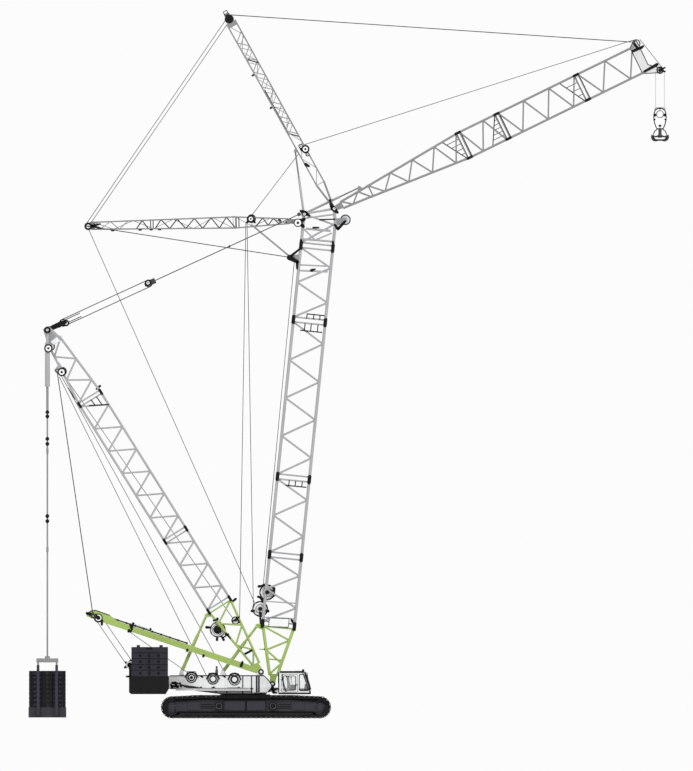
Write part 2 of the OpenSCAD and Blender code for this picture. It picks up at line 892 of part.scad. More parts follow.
// Jib head with the top sheave, the bores of the stay pin and of the tip sheaves
module jib_head() {
  end = jib_len - 60;
  y = 350;
  color(pale)
    on_jib()
      difference() {
        union() {
          lattice(jcut2_s, end, jib_box, [jib_w, 2 * y], 4, jib_c, jib_b, [true, true]);
          both()
            plate(y - 20, y + 20)
              polygon([[-jib_depth / 2 - 30, end - 160], [jib_depth / 2 + 30, end - 160],
                [tip_local[0] + 90, tip_local[2] - 60], [tip_local[0] + 40, tip_local[2] + 80],
                [tip_local[0] - 60, tip_local[2] + 80], [300, end + 190], [-480, end + 200],
                [jib_top[0] - 120, jib_top[2] + 60], [jib_top[0] - 120, jib_top[2] - 80]]);
          shaft(jib_top, 40, -y, y);
          shaft(jib_top, 144, -50, 50);
        }
        shaft(tip_local, 40 + pin_fit, -500, 500);
        shaft([jib_top[0] - 70, 0, jib_top[2] - 30], 22 + pin_fit, -500, 500);
      }
}

// Front strut on the jib pin with its tip sheave
module front_strut() {
  y = 300;
  start = 1000;
  tip = along(jib_pin, 90 + front_lean, strut_len, 0);
  color(pale)
    toward(jib_pin, tip)
      difference() {
        union() {
          lattice(start, strut_len - 120, [300, 340], [560, 340], 12, strut_c, strut_b, open = [1, 2]);
          both() {
            shaft([0, 0, 0], 85, y - 50, y + 50);
            for (x = [-150, 150])
              rod([0, y, 40], [x, 280, start + 40], 36, 12);
            lug([-223, 0, 2500], 50, [-140, 2630], [-140, 2370], 234, 264);
            plate(155, 185)
              polygon([[-170, strut_len - 300], [170, strut_len - 300], [90, strut_len + 250],
                [-90, strut_len + 250]]);
          }
          shaft([0, 0, strut_len], 40, -185, 185);
          shaft([0, 0, strut_len], 155, -50, 50);
          rod([0, -280, start + 40], [0, 280, start + 40], 20, 12);
          shaft([130, 0, 2382], 30, -258, 258);
          shaft([130, 0, 2382], 140, -40, 40);
        }
        pin_bores([0, 0, 0], pin_r, y);
        shaft([0, 0, strut_len + 190], 25 + pin_fit, -500, 500);
      }
}

// Stays from the tip of the front strut to the jib head
module jib_pendants() {
  a = front_tip + 190 * dir(jib_pin, front_tip);
  b = jib_at(jib_top[2] - 30, jib_top[0] - 70);
  color(steel) {
    shaft(a, 25, -240, 240);
    shaft(b, 22, -420, 420);
    both()
      rod(at_y(a, 215), at_y(b, 400), 16, 12);
  }
}

dfoot_s = 260;
dfoot_d = 160 + (derrick_depth - 160) * dfoot_s / dbase_s;
derrick_box = [derrick_depth, derrick_depth];
derrick_wide = [derrick_w, derrick_w];
derrick_winch = [-514, 0, dbase_s - 724];

// Derrick foot section, open between its legs, with its winch drum
module derrick_base() {
  y = derrick_w / 2;
  color(lime)
    on_derrick()
      difference() {
        union() {
          lattice(dfoot_s, dbase_s, [dfoot_d, derrick_depth], derrick_wide, 5, derrick_c, derrick_b,
            [false, true], [0, 2]);
          both() {
            foot(y, 100, boss_w, 100, dfoot_s + 100);
            lug(derrick_winch, 80, [-300, derrick_winch[2] + 182], [-280, derrick_winch[2] - 118],
              y - 60, y - 20);
            lug([-derrick_depth / 2 - 150, 0, dbase_s - 80], 60, [-derrick_depth / 2 + 40, dbase_s - 10],
              [-derrick_depth / 2 + 80, dbase_s - 240], y - 50, y - 10);
          }
          drum(derrick_winch, 288, y - 50);
        }
        pin_bores([0, 0, 0], pin_r, y);
      }
}

module derrick_insert_1() {
  color(pale)
    on_derrick()
      lattice(dbase_s, dcut1_s, derrick_box, derrick_wide, 6, derrick_c, derrick_b);
}

module derrick_insert_2() {
  color(pale)
    on_derrick()
      lattice(dcut1_s, dcut2_s, derrick_box, derrick_wide, 12, derrick_c, derrick_b);
}

// Derrick head with its shaft, sheaves and the lugs of the mast stays
module derrick_head() {
  y = 450;
  lug_p = [-derrick_depth / 2 - 30, 0, derrick_len - 1420];
  color(pale)
    on_derrick() {
      lattice(dcut2_s, dend_s, [derrick_depth, 500], [derrick_w, 2 * y], 5, derrick_c, derrick_b);
      both() {
        plate(y - 22, y + 22)
          polygon([[-300, dend_s - 160], [300, dend_s - 160], [120, derrick_len + 110],
            [-120, derrick_len + 110]]);
        plate(505, 535)
          polygon([[-250, lug_p[2] - 200], [-250, lug_p[2] + 200], [lug_p[0] - 80, lug_p[2] + 60],
            [lug_p[0] - 80, lug_p[2] - 60]]);
        shaft(lug_p, 30, 505, 600);
      }
      shaft([0, 0, derrick_len], pin_r, -700, 700);
      for (p = [[-220, 0, derrick_len - 570], [-330, 0, derrick_len - 1550]]) {
        shaft(p, 36, -y - 40, y + 40);
        shaft(p, 150, -50, 50);
      }
    }
}

// Stays from the derrick head to the tip of the live mast
module derrick_pendants() {
  a = derrick_at(derrick_len - 1420, -derrick_depth / 2 - 30);
  b = live_eye;
  tie = mix(a, b, 0.06);
  color(steel) {
    both()
      difference() {
        union() {
          rod(at_y(a, 570), at_y(b, mast_y + 130), 18, 12);
          shaft(a, 60, 545, 592);
          shaft(b, 90, mast_y + 110, mast_y + 150);
        }
        shaft(a, 30 + pin_fit, 400, 700);
        shaft(b, 60, mast_y, mast_y + 300);
      }
    shaft(tie, 18, -580, 580);
  }
}

// Live mast: two beams on the derrick pin, tied at the tip and halfway
module live_mast() {
  root = [derrick_x, 0, derrick_z];
  color(lime)
    toward(root, live_tip)
      difference() {
        union() {
          both() {
            shaft([0, 0, 0], 108, mast_y - 60, mast_y + 60);
            plate(mast_y - 60, mast_y + 60)
              polygon([[-100, 0], [100, 0], [108, 500], [108, live_len - 500], [80, live_len],
                [-80, live_len], [-108, live_len - 500], [-108, 500]]);
            shaft([0, 0, live_len - 230], 30, mast_y - 60, mast_y + 170);
          }
          for (s = [4300, live_len - 80])
            translate([-70, -mast_y, s - 70])
              cube([140, 2 * mast_y, 140]);
          shaft([0, 0, live_len - 430], 40, -mast_y, mast_y);
          for (y = [-300, 0, 300])
            shaft([0, 0, live_len - 430], 162, y - 40, y + 40);
        }
        pin_bores([0, 0, 0], pin_r, mast_y);
      }
}

// Upper block of the boom tackle on the derrick head shaft
module boom_tackle() {
  color(steel)
    toward(derrick_tip, stay_eye)
      difference() {
        union() {
          both() {
            shaft([0, 0, 0], 90, 180, 240);
            plate(190, 230)
              polygon([[-80, 0], [80, 0], [100, 560], [60, 760], [-60, 760], [-100, 560]]);
          }
          shaft([0, 0, 620], 40, -230, 230);
          for (y = [-110, 0, 110])
            shaft([0, 0, 620], 130, y - 25, y + 25);
        }
        pin_bores([0, 0, 0], pin_r, 210);
      }
}

// Lower block of the boom tackle with the boom stays
module boom_pendants() {
  l = norm(stay_eye - derrick_tip);
  block = 4018;
  y = leg_y + 110;
  color(steel)
    toward(derrick_tip, stay_eye) {
      both() {
        plate(190, 230)
          polygon([[-60, block - 160], [60, block - 160], [100, block + 40], [100, block + 260],
            [-100, block + 260], [-100, block + 40]]);
        rod([0, y, block + 220], [0, y, l], 18, 12);
        shaft([0, 0, l], 70, y - 20, y + 20);
        shaft([0, 0, block + 220 + (l - block) / 2], 40, y - 22, y + 22);
      }
      shaft([0, 0, block], 40, -230, 230);
      for (s = [-110, 0, 110])
        shaft([0, 0, block], 130, s - 25, s + 25);
      rod([0, -y - 20, block + 220], [0, y + 20, block + 220], 45, 12);
    }
}

// Pair of backstop tubes that point from p to q, turning on pins at p
module stop_tubes(p, q, y, len, ro, ri, boss, pin) {
  toward(p, q)
    difference() {
      union() {
        both() {
          shaft([0, 0, 0], boss, y - 1.1 * ro, y + 1.1 * ro);
          translate([0, y, 0])
            cylinder(r = ro, h = len, $fn = 32);
        }
        rod([0, -y, 0.6 * boss + 110], [0, y, 0.6 * boss + 110], 0.6 * ro, 12);
      }
      both()
        translate([0, y, boss + 40])
          cylinder(r = ri, h = len, $fn = 32);
      pin_bores([0, 0, 0], pin, y);
    }
}

// Pair of backstop rods that reach back from the cross pin at q
module stop_rods(p, q, y, len, r, head, half) {
  l = norm(q - p);
  toward(p, q) {
    both()
      translate([0, y, l - len])
        cylinder(r = r, h = len, $fn = 32);
    shaft([0, 0, l], head, -half, half);
  }
}

module boom_stop_tubes() {
  color(lime)
    stop_tubes(stop_foot, stop_head, stop_y, 0.66 * norm(stop_head - stop_foot), 60, 46, 62, 35);
}

module boom_stop_rods() {
  color(lime)
    stop_rods(stop_foot, stop_head, stop_y, 0.66 * norm(stop_head - stop_foot), 44, 52, leg_y - 60);
}

module derrick_stop_tubes() {
  color(lime)
    stop_tubes(dstop_foot, dstop_head, stop_y, 0.66 * norm(dstop_head - dstop_foot), 60, 46, 62, 35);
}

module derrick_stop_rods() {
  color(lime)
    stop_rods(dstop_foot, dstop_head, stop_y, 0.62 * norm(dstop_head - dstop_foot), 44, 52, leg_y - 60);
}

module strut_stop_tube() {
  color(pale)
    stop_tubes(sstop_foot, sstop_head, 170, 0.59 * norm(sstop_head - sstop_foot), 42, 30, 75, pin_r);
}

module strut_stop_rod() {
  color(steel)
    stop_rods(sstop_foot, sstop_head, 170, 0.57 * norm(sstop_head - sstop_foot), 28, 36, 200);
}

module jib_stop_tube() {
  color(pale)
    stop_tubes(sstop_foot, jstop_head, 70, 0.64 * norm(jstop_head - sstop_foot), 42, 30, 75, pin_r);
}

module jib_stop_rod() {
  color(steel)
    stop_rods(sstop_foot, jstop_head, 70, 0.6 * norm(jstop_head - sstop_foot), 28, 36, jib_w / 2 - 30);
}

// Hanging ballast: two cylinders on the derrick head shaft
ballast_y = 600;
barrel_top = 470;
barrel_end = 2040;
rod_in = 650;
tray_x = derrick_tip[0];
tray_l = 680;
tray_w = 1340;
tray_h = 367;
post_top = tray_h + ballast_h + 210;
post_x = 335;
post_y = tray_w + 70;
frame_z = post_top + 260;

module ballast_cylinders() {
  color(pale)
    translate(derrick_tip)
      difference() {
        union() {
          both() {
            shaft([0, 0, 0], 90, ballast_y - 60, ballast_y + 60);
            translate([0, ballast_y, -barrel_end])
              cylinder(r = 90, h = barrel_end - barrel_top, $fn = 32);
            translate([0, ballast_y, -barrel_top - 20])
              cylinder(r = 55, h = barrel_top + 20, $fn = 32);
          }
          rod([0, -ballast_y, 90 - barrel_end], [0, ballast_y, 90 - barrel_end], 40, 12);
        }
        pin_bores([0, 0, 0], pin_r, ballast_y);
        both()
          translate([0, ballast_y, -barrel_end - 10])
            cylinder(r = 48, h = barrel_end - barrel_top - 90, $fn = 32);
      }
}

// Piston rods, hanging bars and the frame over the ballast tray
module ballast_rods() {
  z_in = derrick_tip[2] - barrel_end + rod_in;
  color(pale) {
    both() {
      translate([tray_x, ballast_y, z_in - rod_in - 900])
        cylinder(r = 45, h = rod_in + 900, $fn = 32);
      translate([tray_x, ballast_y, frame_z])
        cylinder(r = 30, h = z_in - rod_in - 860 - frame_z, $fn = 24);
      for (t = [0.16, 0.56])
        translate([tray_x - 45, ballast_y - 50, mix(z_in - rod_in - 900, frame_z, t) - 90])
          cube([90, 100, 180]);
      translate([tray_x - post_x - 60, post_y - 60, post_top + 90])
        cube([2 * post_x + 120, 120, 150]);
      for (s = [-1, 1])
        translate([tray_x + s * post_x, post_y, post_top])
          cylinder(r = 34, h = 120, $fn = 24);
    }
    translate([tray_x - 90, -post_y - 60, frame_z - 120])
      cube([180, 2 * post_y + 120, 180]);
  }
}

// Tray on the ground with four posts
module ballast_tray() {
  color(dark) {
    translate([tray_x - tray_l, -tray_w, 0])
      cube([2 * tray_l, 2 * tray_w, tray_h]);
    both()
      for (s = [-1, 1])
        translate([tray_x + s * post_x - 50, tray_w - 20, 60])
          cube([100, 140, post_top - 60]);
  }
}

module ballast_blocks() {
  slab = ballast_h / 8;
  x0 = tray_x - tray_l + 20;
  lx = 2 * tray_l - 40;
  y = tray_w - 40;
  color(dark)
    difference() {
      translate([x0, -y, tray_h])
        cube([lx, 2 * y, ballast_h]);
      for (i = [1 : 7])
        difference() {
          translate([x0 - 10, -y - 10, tray_h + i * slab - 6])
            cube([lx + 20, 2 * y + 20, 12]);
          translate([x0 + 16, -y + 16, tray_h + i * slab - 20])
            cube([lx - 32, 2 * y - 32, 40]);
        }
    }
}

// Sheaves at the jib tip
module tip_sheaves() {
  color(steel) {
    shaft(tip_pin, 40, -395, 395);
    for (y = [-150, 150])
      shaft(tip_pin, 126, y - 40, y + 40);
    shaft(tip_pin, 80, -110, 110);
  }
}

// Hook block with its rope falls
fall_x = 155;
block_top = tip_pin[2] - 1330;
block_end = block_top - 780;

module hook_block() {
  p = [tip_pin[0], 0, block_top - 300];
  color(dark) {
    for (x = [-fall_x, fall_x], y = [-150, 150])
      translate([tip_pin[0] + x, y, p[2]])
        cylinder(r = 9, h = tip_pin[2] - p[2], $fn = 12);
    for (y = [-150, 150])
      shaft(p, 160, y - 40, y + 40);
    shaft(p, 60, -240, 240);
    both()
      plate(200, 230)
        polygon([[p[0] - 200, block_top - 40], [p[0] - 120, block_top], [p[0] + 120, block_top],
          [p[0] + 200, block_top - 40], [p[0] + 200, block_end + 200], [p[0] + 120, block_end],
          [p[0] - 120, block_end], [p[0] - 200, block_end + 200]]);
    difference() {
      translate([p[0] - 120, -230, block_end])
        cube([240, 460, 160]);
      translate([p[0], 0, block_end - 10])
        cylinder(r = 62, h = 100, $fn = 32);
    }
  }
}

// Ramshorn hook on its swivel shank
module hook() {
  horn = 125;
  z = block_end - 260;
  color(dark)
    translate([tip_pin[0], 0, 0])
      difference() {
        union() {
          translate([0, 0, z])
            cylinder(r = 60, h = block_end - z + 60, $fn = 32);
          translate([-70, -60, z - 60])
            cube([140, 120, 130]);
          for (s = [0, 180])
            rotate([0, 0, s])
              translate([horn + 36, 0, z - 30])
                rotate([90, 0, 0])
                  rotate([0, 0, 180])
                    rotate_extrude(angle = 210, $fn = 48)
                      translate([horn, 0])
                        circle(r = 42, $fn = 24);
        }
        shaft([0, 0, z], 35, -100, 100);
      }
}

carbody();
track_frame_left();
track_frame_right();
track_left();
track_right();
deck();
engine();
engine_cover();
counterweight_base();
counterweight_left();
counterweight_right();
winch_rear();
winch_middle();
winch_front();
cab_body();
cab_side_left();
cab_side_right();
cab_roof();
cab_door();
cab_seat();
boom_base();
boom_insert_1();
boom_insert_2();
boom_insert_3();
boom_insert_4();
boom_head();
boom_winch_low();
boom_winch_high();
boom_rope();
rear_strut();
rear_pendants();
jib_base();
jib_insert_1();
jib_insert_2();
jib_head();
front_strut();
jib_pendants();
derrick_base();
derrick_insert_1();
derrick_insert_2();
derrick_head();
derrick_pendants();
live_mast();
boom_tackle();
boom_pendants();
boom_stop_tubes();
boom_stop_rods();
derrick_stop_tubes();
derrick_stop_rods();
strut_stop_tube();
strut_stop_rod();
jib_stop_tube();
jib_stop_rod();
ballast_cylinders();
ballast_rods();
ballast_tray();
ballast_blocks();
tip_sheaves();
hook_block();
hook();
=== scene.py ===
"""Looks of a crawler crane with a lattice boom, a luffing jib and a derrick mast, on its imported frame."""

import sys
import json
import math

import bpy
import numpy as np
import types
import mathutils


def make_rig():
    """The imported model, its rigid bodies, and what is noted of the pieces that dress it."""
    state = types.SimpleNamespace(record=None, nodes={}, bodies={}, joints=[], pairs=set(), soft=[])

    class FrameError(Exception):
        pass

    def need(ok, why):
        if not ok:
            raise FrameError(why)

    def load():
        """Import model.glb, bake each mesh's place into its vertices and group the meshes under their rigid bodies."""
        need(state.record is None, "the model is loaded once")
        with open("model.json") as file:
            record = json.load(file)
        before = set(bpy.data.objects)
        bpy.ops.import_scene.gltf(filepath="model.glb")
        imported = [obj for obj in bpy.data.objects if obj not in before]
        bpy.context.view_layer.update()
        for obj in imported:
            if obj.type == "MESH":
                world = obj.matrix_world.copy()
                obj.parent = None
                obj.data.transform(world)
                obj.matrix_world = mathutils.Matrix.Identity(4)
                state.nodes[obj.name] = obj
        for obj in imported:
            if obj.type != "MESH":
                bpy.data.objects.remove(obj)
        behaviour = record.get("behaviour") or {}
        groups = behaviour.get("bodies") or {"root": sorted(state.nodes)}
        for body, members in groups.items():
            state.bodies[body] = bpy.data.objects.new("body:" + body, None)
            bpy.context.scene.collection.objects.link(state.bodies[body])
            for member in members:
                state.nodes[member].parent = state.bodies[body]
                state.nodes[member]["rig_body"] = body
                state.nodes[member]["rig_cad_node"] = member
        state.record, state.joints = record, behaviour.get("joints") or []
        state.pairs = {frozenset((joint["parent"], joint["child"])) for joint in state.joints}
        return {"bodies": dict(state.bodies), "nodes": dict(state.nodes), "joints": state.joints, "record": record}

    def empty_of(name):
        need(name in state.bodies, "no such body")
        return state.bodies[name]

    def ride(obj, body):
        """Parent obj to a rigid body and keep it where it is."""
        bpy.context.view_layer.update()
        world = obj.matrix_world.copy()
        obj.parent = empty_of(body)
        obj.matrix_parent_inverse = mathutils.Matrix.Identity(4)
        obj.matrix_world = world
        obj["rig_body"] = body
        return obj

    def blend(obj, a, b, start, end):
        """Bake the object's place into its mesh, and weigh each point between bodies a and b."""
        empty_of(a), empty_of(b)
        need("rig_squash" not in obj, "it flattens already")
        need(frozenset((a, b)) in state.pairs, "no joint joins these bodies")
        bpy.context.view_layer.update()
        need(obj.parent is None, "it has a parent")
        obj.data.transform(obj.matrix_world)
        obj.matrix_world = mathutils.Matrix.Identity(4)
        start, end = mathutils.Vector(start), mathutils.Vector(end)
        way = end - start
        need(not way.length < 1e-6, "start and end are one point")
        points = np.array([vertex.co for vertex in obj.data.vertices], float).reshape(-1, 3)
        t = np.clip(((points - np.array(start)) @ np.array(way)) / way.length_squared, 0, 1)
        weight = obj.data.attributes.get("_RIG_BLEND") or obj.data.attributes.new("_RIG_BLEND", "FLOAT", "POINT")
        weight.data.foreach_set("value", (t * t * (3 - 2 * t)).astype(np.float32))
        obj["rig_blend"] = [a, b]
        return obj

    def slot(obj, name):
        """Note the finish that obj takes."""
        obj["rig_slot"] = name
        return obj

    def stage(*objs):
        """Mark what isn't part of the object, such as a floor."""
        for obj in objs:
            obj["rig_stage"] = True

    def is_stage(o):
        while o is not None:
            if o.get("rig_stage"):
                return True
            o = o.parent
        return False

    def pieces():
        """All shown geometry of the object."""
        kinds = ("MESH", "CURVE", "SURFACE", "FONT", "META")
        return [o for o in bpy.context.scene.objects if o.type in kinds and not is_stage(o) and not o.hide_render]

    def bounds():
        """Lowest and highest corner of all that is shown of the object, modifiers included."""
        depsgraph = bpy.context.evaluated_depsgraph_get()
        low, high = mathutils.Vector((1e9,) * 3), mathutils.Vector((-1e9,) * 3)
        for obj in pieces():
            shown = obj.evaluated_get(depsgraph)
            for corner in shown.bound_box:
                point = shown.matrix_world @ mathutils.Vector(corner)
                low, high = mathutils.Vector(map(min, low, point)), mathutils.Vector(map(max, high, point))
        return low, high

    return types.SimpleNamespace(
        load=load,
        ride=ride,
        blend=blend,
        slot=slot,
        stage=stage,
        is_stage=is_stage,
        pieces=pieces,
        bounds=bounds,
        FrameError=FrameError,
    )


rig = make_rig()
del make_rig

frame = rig.load()
CAD_BOX = [list(corner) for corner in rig.bounds()]

bl_info = {
    "name": "Crawler crane looks",
    "version": (1, 0, 0),
    "blender": (4, 5, 0),
    "location": "View3D > Sidebar > Crane",
    "description": "Finishes, fittings, ropes and stage of a lattice boom crawler crane",
    "category": "Object",
}


def srgb(*levels):
    """Linear colour of a screen colour: each level over 255, bent by the usual screen curve."""
    c = np.array(levels) / 255.0
    return tuple(float(x) for x in np.where(c <= 0.04045, c / 12.92, ((c + 0.055) / 1.055) ** 2.4))


class Arm:
    """Straight arm: s runs along it from its foot, n to its front and y across, all in metres."""

    def __init__(self, foot, elevation):
        e = math.radians(elevation)
        self.foot = np.array([foot[0], 0.0, foot[1]])
        self.s = np.array([math.cos(e), 0.0, math.sin(e)])
        self.n = np.array([math.sin(e), 0.0, -math.cos(e)])
        self.y = np.array([0.0, 1.0, 0.0])

    def at(self, s, n=0.0, y=0.0):
        """Foot + s along + n to the front + y across, for numbers or arrays."""
        s, n, y = np.broadcast_arrays(np.asarray(s, float), n, y)
        return self.foot + s[..., None] * self.s + n[..., None] * self.n + y[..., None] * self.y

    def flat(self, s, n=0.0):
        """x and z of the place at s and n."""
        return self.at(s, n)[..., [0, 2]]

    def turn(self):
        """Matrix that takes local x, y, z to front, across and along."""
        return np.stack([self.n, self.y, self.s], -1)


BOOM = Arm((0.990, 1.206), 84.2)
JIB = Arm((3.2145, 18.3168), 26.1)
DERRICK = Arm((0.576, 1.642), 122.0)
MAST = Arm((0.576, 1.642), 161.6)
FRONT = Arm((3.2145, 18.3168), 119.0)
REAR = Arm((1.8719, 17.8741), 181.34)
TACKLE = Arm((-7.1147, 13.9497), 24.69)
LEVEL = np.eye(3)
HALF_TURN = np.diag([-1.0, -1.0, 1.0])

BOOM_JOINTS = (2.135, 4.633, 7.456, 13.136, 15.825)
JIB_JOINTS = (5.191, 6.742, 9.926)
DERRICK_JOINTS = (2.842, 5.810, 11.610)


# Surfaces: each function gives points, the corners of the faces, the corner count of each face and a
# flat map of each corner

def grid(points, wrap=False):
    """Quads over rows of points: point j of row i joins to j + 1 and to row i + 1."""
    p = np.asarray(points, float)
    rows, cols = p.shape[:2]
    i = np.arange(rows - 1)[:, None]
    j = np.arange(cols if wrap else cols - 1)[None, :]
    k = (j + 1) % cols
    quads = np.stack([i * cols + j, i * cols + k, (i + 1) * cols + k, (i + 1) * cols + j], -1)
    flat = np.stack(np.broadcast_arrays(np.stack([j, j + 1, j + 1, j], -1) / cols,
                                        np.stack([i, i, i + 1, i + 1], -1) + 0.0), -1)
    return p.reshape(-1, 3), quads.ravel(), np.full(quads.size // 4, 4), flat.reshape(-1, 2)


def join(*surfaces):
    """One surface of several: the points follow each other and the corners are counted on."""
    starts = np.cumsum([0] + [len(s[0]) for s in surfaces])
    return (np.concatenate([s[0] for s in surfaces]),
            np.concatenate([s[1] + k for s, k in zip(surfaces, starts)]),
            np.concatenate([s[2] for s in surfaces]),
            np.concatenate([s[3] for s in surfaces]))


def caps(rows, cols):
    """End faces of a closed grid: the first ring backwards and the last ring forwards."""
    loops = np.concatenate([np.arange(cols)[::-1], (rows - 1) * cols + np.arange(cols)])
    return loops, np.array([cols, cols]), np.zeros((2 * cols, 2))


def closed(points):
    """Rings of points joined by quads, with both ends capped."""
    p, loops, totals, flat = grid(points, wrap=True)
    more, ends, blank = caps(*np.asarray(points).shape[:2])
    return p, np.concatenate([loops, more]), np.concatenate([totals, ends]), np.concatenate([flat, blank])


def looped(rings):
    """Rings of points joined by quads, the last ring to the first."""
    p, loops, totals, flat = grid(np.concatenate([rings, rings[:1]]), wrap=True)
    count = len(p) - rings.shape[1]
    return p[:count], loops % count, totals, flat


def copies(surface, places, turns=None):
    """The surface at each place: turned by the place's matrix, or by one matrix for all, then moved there."""
    p, loops, totals, flat = surface
    places = np.asarray(places, float).reshape(-1, 3)
    count = len(places)
    turns = np.broadcast_to(LEVEL if turns is None else turns, (count, 3, 3))
    moved = np.einsum("kab,pb->kpa", turns, p) + places[:, None]
    loops = (loops[None] + len(p) * np.arange(count)[:, None]).ravel()
    return moved.reshape(-1, 3), loops, np.tile(totals, count), np.tile(flat, (count, 1))


def angles(count):
    """Equal steps once round a circle, in radians."""
    return np.linspace(0, 2 * np.pi, count, endpoint=False)


def turned(profile, sides, axis):
    """Rings of points: each (height, radius) of the profile swept round the axis."""
    h, r = np.asarray(profile, float).T
    a = angles(sides)
    c, s = r[:, None] * np.cos(a), r[:, None] * np.sin(a)
    up = np.broadcast_to(h[:, None], c.shape)
    return np.stack({"z": (c, s, up), "y": (s, up, c), "x": (up, c, s)}[axis], -1)


def lathe(profile, sides=24, axis="y"):
    """Turned form: the profile swept round the axis, ends capped."""
    return closed(turned(profile, sides, axis))


def hoop(profile, sides=24, axis="y"):
    """Turned ring: a closed profile swept round the axis, with no ends."""
    return looped(turned(profile, sides, axis))


def spindle(rows):
    """Profile with both ends alike: (height, radius) rows of one end, from its face inwards."""
    return [(-h, r) for h, r in rows] + [(h, r) for h, r in reversed(rows)]


def facing(profile, side):
    """Profile turned to face along y for side 1, or against it for side -1, its faces still outward."""
    return [(side * h, r) for h, r in profile][::side]


def stub(half, bevel, radius, end, sides=20, axis="y"):
    """Turned pin about the origin: full radius between its bevels, the end radius at both faces."""
    return lathe(spindle([(half, end), (half - bevel, radius)]), sides, axis)


def shape(outline, low, high, bevel=0.004):
    """Plate: the outline in x and z carried along y from low to high, drawn in by the bevel at both faces."""
    o = np.asarray(outline, float)
    nxt, prv = np.roll(o, -1, 0) - o, o - np.roll(o, 1, 0)
    if np.sum(o[:, 0] * np.roll(o[:, 1], -1) - o[:, 1] * np.roll(o[:, 0], -1)) > 0:
        return shape(o[::-1], low, high, bevel)
    ends = [v / np.linalg.norm(v, axis=1, keepdims=True) for v in (prv, nxt)]
    mid = np.stack([ends[0][:, 1] + ends[1][:, 1], -ends[0][:, 0] - ends[1][:, 0]], -1)
    mid /= np.maximum(1e-9, 1 + np.sum(ends[0] * ends[1], 1))[:, None]
    inner = o + bevel * mid
    rings = [(inner, low), (o, low + bevel), (o, high - bevel), (inner, high)]
    return closed(np.stack([at_y(ring, y) for ring, y in rings]))


def block(size, bevel=0.006):
    """Box about the origin with bevelled edges along its length in y and at both ends."""
    x, y, z = np.asarray(size, float) / 2
    b = min(bevel, 0.45 * min(x, y, z))
    outline = [(-x + b, -z), (x - b, -z), (x, -z + b), (x, z - b), (x - b, z), (-x + b, z), (-x, z - b),
               (-x, -z + b)]
    return shape(outline, -y, y, 0.7 * b)


def bars(a, b, radius, sides=8):
    """Round bars, one from each point of a to the same point of b, with flat ends."""
    a, b = np.broadcast_arrays(np.asarray(a, float).reshape(-1, 3), np.asarray(b, float).reshape(-1, 3))
    d = b - a
    length = np.linalg.norm(d, axis=1)
    z = d / length[:, None]
    side = np.where(np.abs(z[:, 1:2]) < 0.9, [[0.0, 1.0, 0.0]], [[1.0, 0.0, 0.0]])
    x = np.cross(side, z)
    x /= np.linalg.norm(x, axis=1, keepdims=True)
    turns = np.stack([x * radius, np.cross(z, x) * radius, d], -1)
    return copies(lathe([(0, 1), (1, 1)], sides, "z"), a, turns)


def tube(path, radius, sides=8):
    """Round section carried along a path, each ring square to the path; the radius may change on the way."""
    p = np.asarray(path, float)
    t = np.gradient(p, axis=0)
    t /= np.linalg.norm(t, axis=1, keepdims=True)
    side = np.array([0.0, 1.0, 0.0]) if np.abs(t[:, 1]).max() < 0.95 else np.array([0.31, 0.0, 0.95])
    u = np.cross(side, t)
    u /= np.linalg.norm(u, axis=1, keepdims=True)
    v = np.cross(t, u)
    a = angles(sides)
    r = np.broadcast_to(radius, len(p))[:, None, None]
    return closed(p[:, None] + r * (np.cos(a)[:, None] * u[:, None] + np.sin(a)[:, None] * v[:, None]))


def rounded(points, radius, steps=6):
    """Path through corner points, each corner replaced by a curve that starts the radius before it."""
    p = np.asarray(points, float)
    out = [p[:1]]
    f = np.linspace(0, 1, steps)[:, None]
    for before, corner, after in zip(p[:-2], p[1:-1], p[2:]):
        a = corner + (before - corner) * min(0.5, radius / np.linalg.norm(before - corner))
        b = corner + (after - corner) * min(0.5, radius / np.linalg.norm(after - corner))
        out.append((1 - f) ** 2 * a + 2 * f * (1 - f) * corner + f ** 2 * b)
    return np.concatenate(out + [p[-1:]])


def at_y(points, y):
    """Points given as rows of x, z, put at one y."""
    return np.insert(np.asarray(points, float), 1, y, axis=1)


def pair(x, y, z):
    """Places on both sides of the machine."""
    return [(x, -y, z), (x, y, z)]


def both_ways(surface, x, z):
    """The surface on its own side at x, z, and turned half round for the far side."""
    return copies(surface, [(x, 0.0, z), (x, 0.0, z)], np.stack([LEVEL, HALF_TURN]))


def plates(outline, y, half, bevel=0.002):
    """The same plate on both sides of the machine, its middle at y."""
    return [shape(outline, v - half, v + half, bevel) for v in (-y, y)]


def flank_bars(rows, y, sides):
    """Bars on both sides of the machine, from rows of x, z of both ends and the radius."""
    return [bars([(x0, v, z0)], [(x1, v, z1)], r, sides) for x0, z0, x1, z1, r in rows for v in (-y, y)]


def outward(y, thick):
    """Low and high face along y of a plate of that thickness, on the outer side of y."""
    return sorted((y, y + math.copysign(thick, y)))


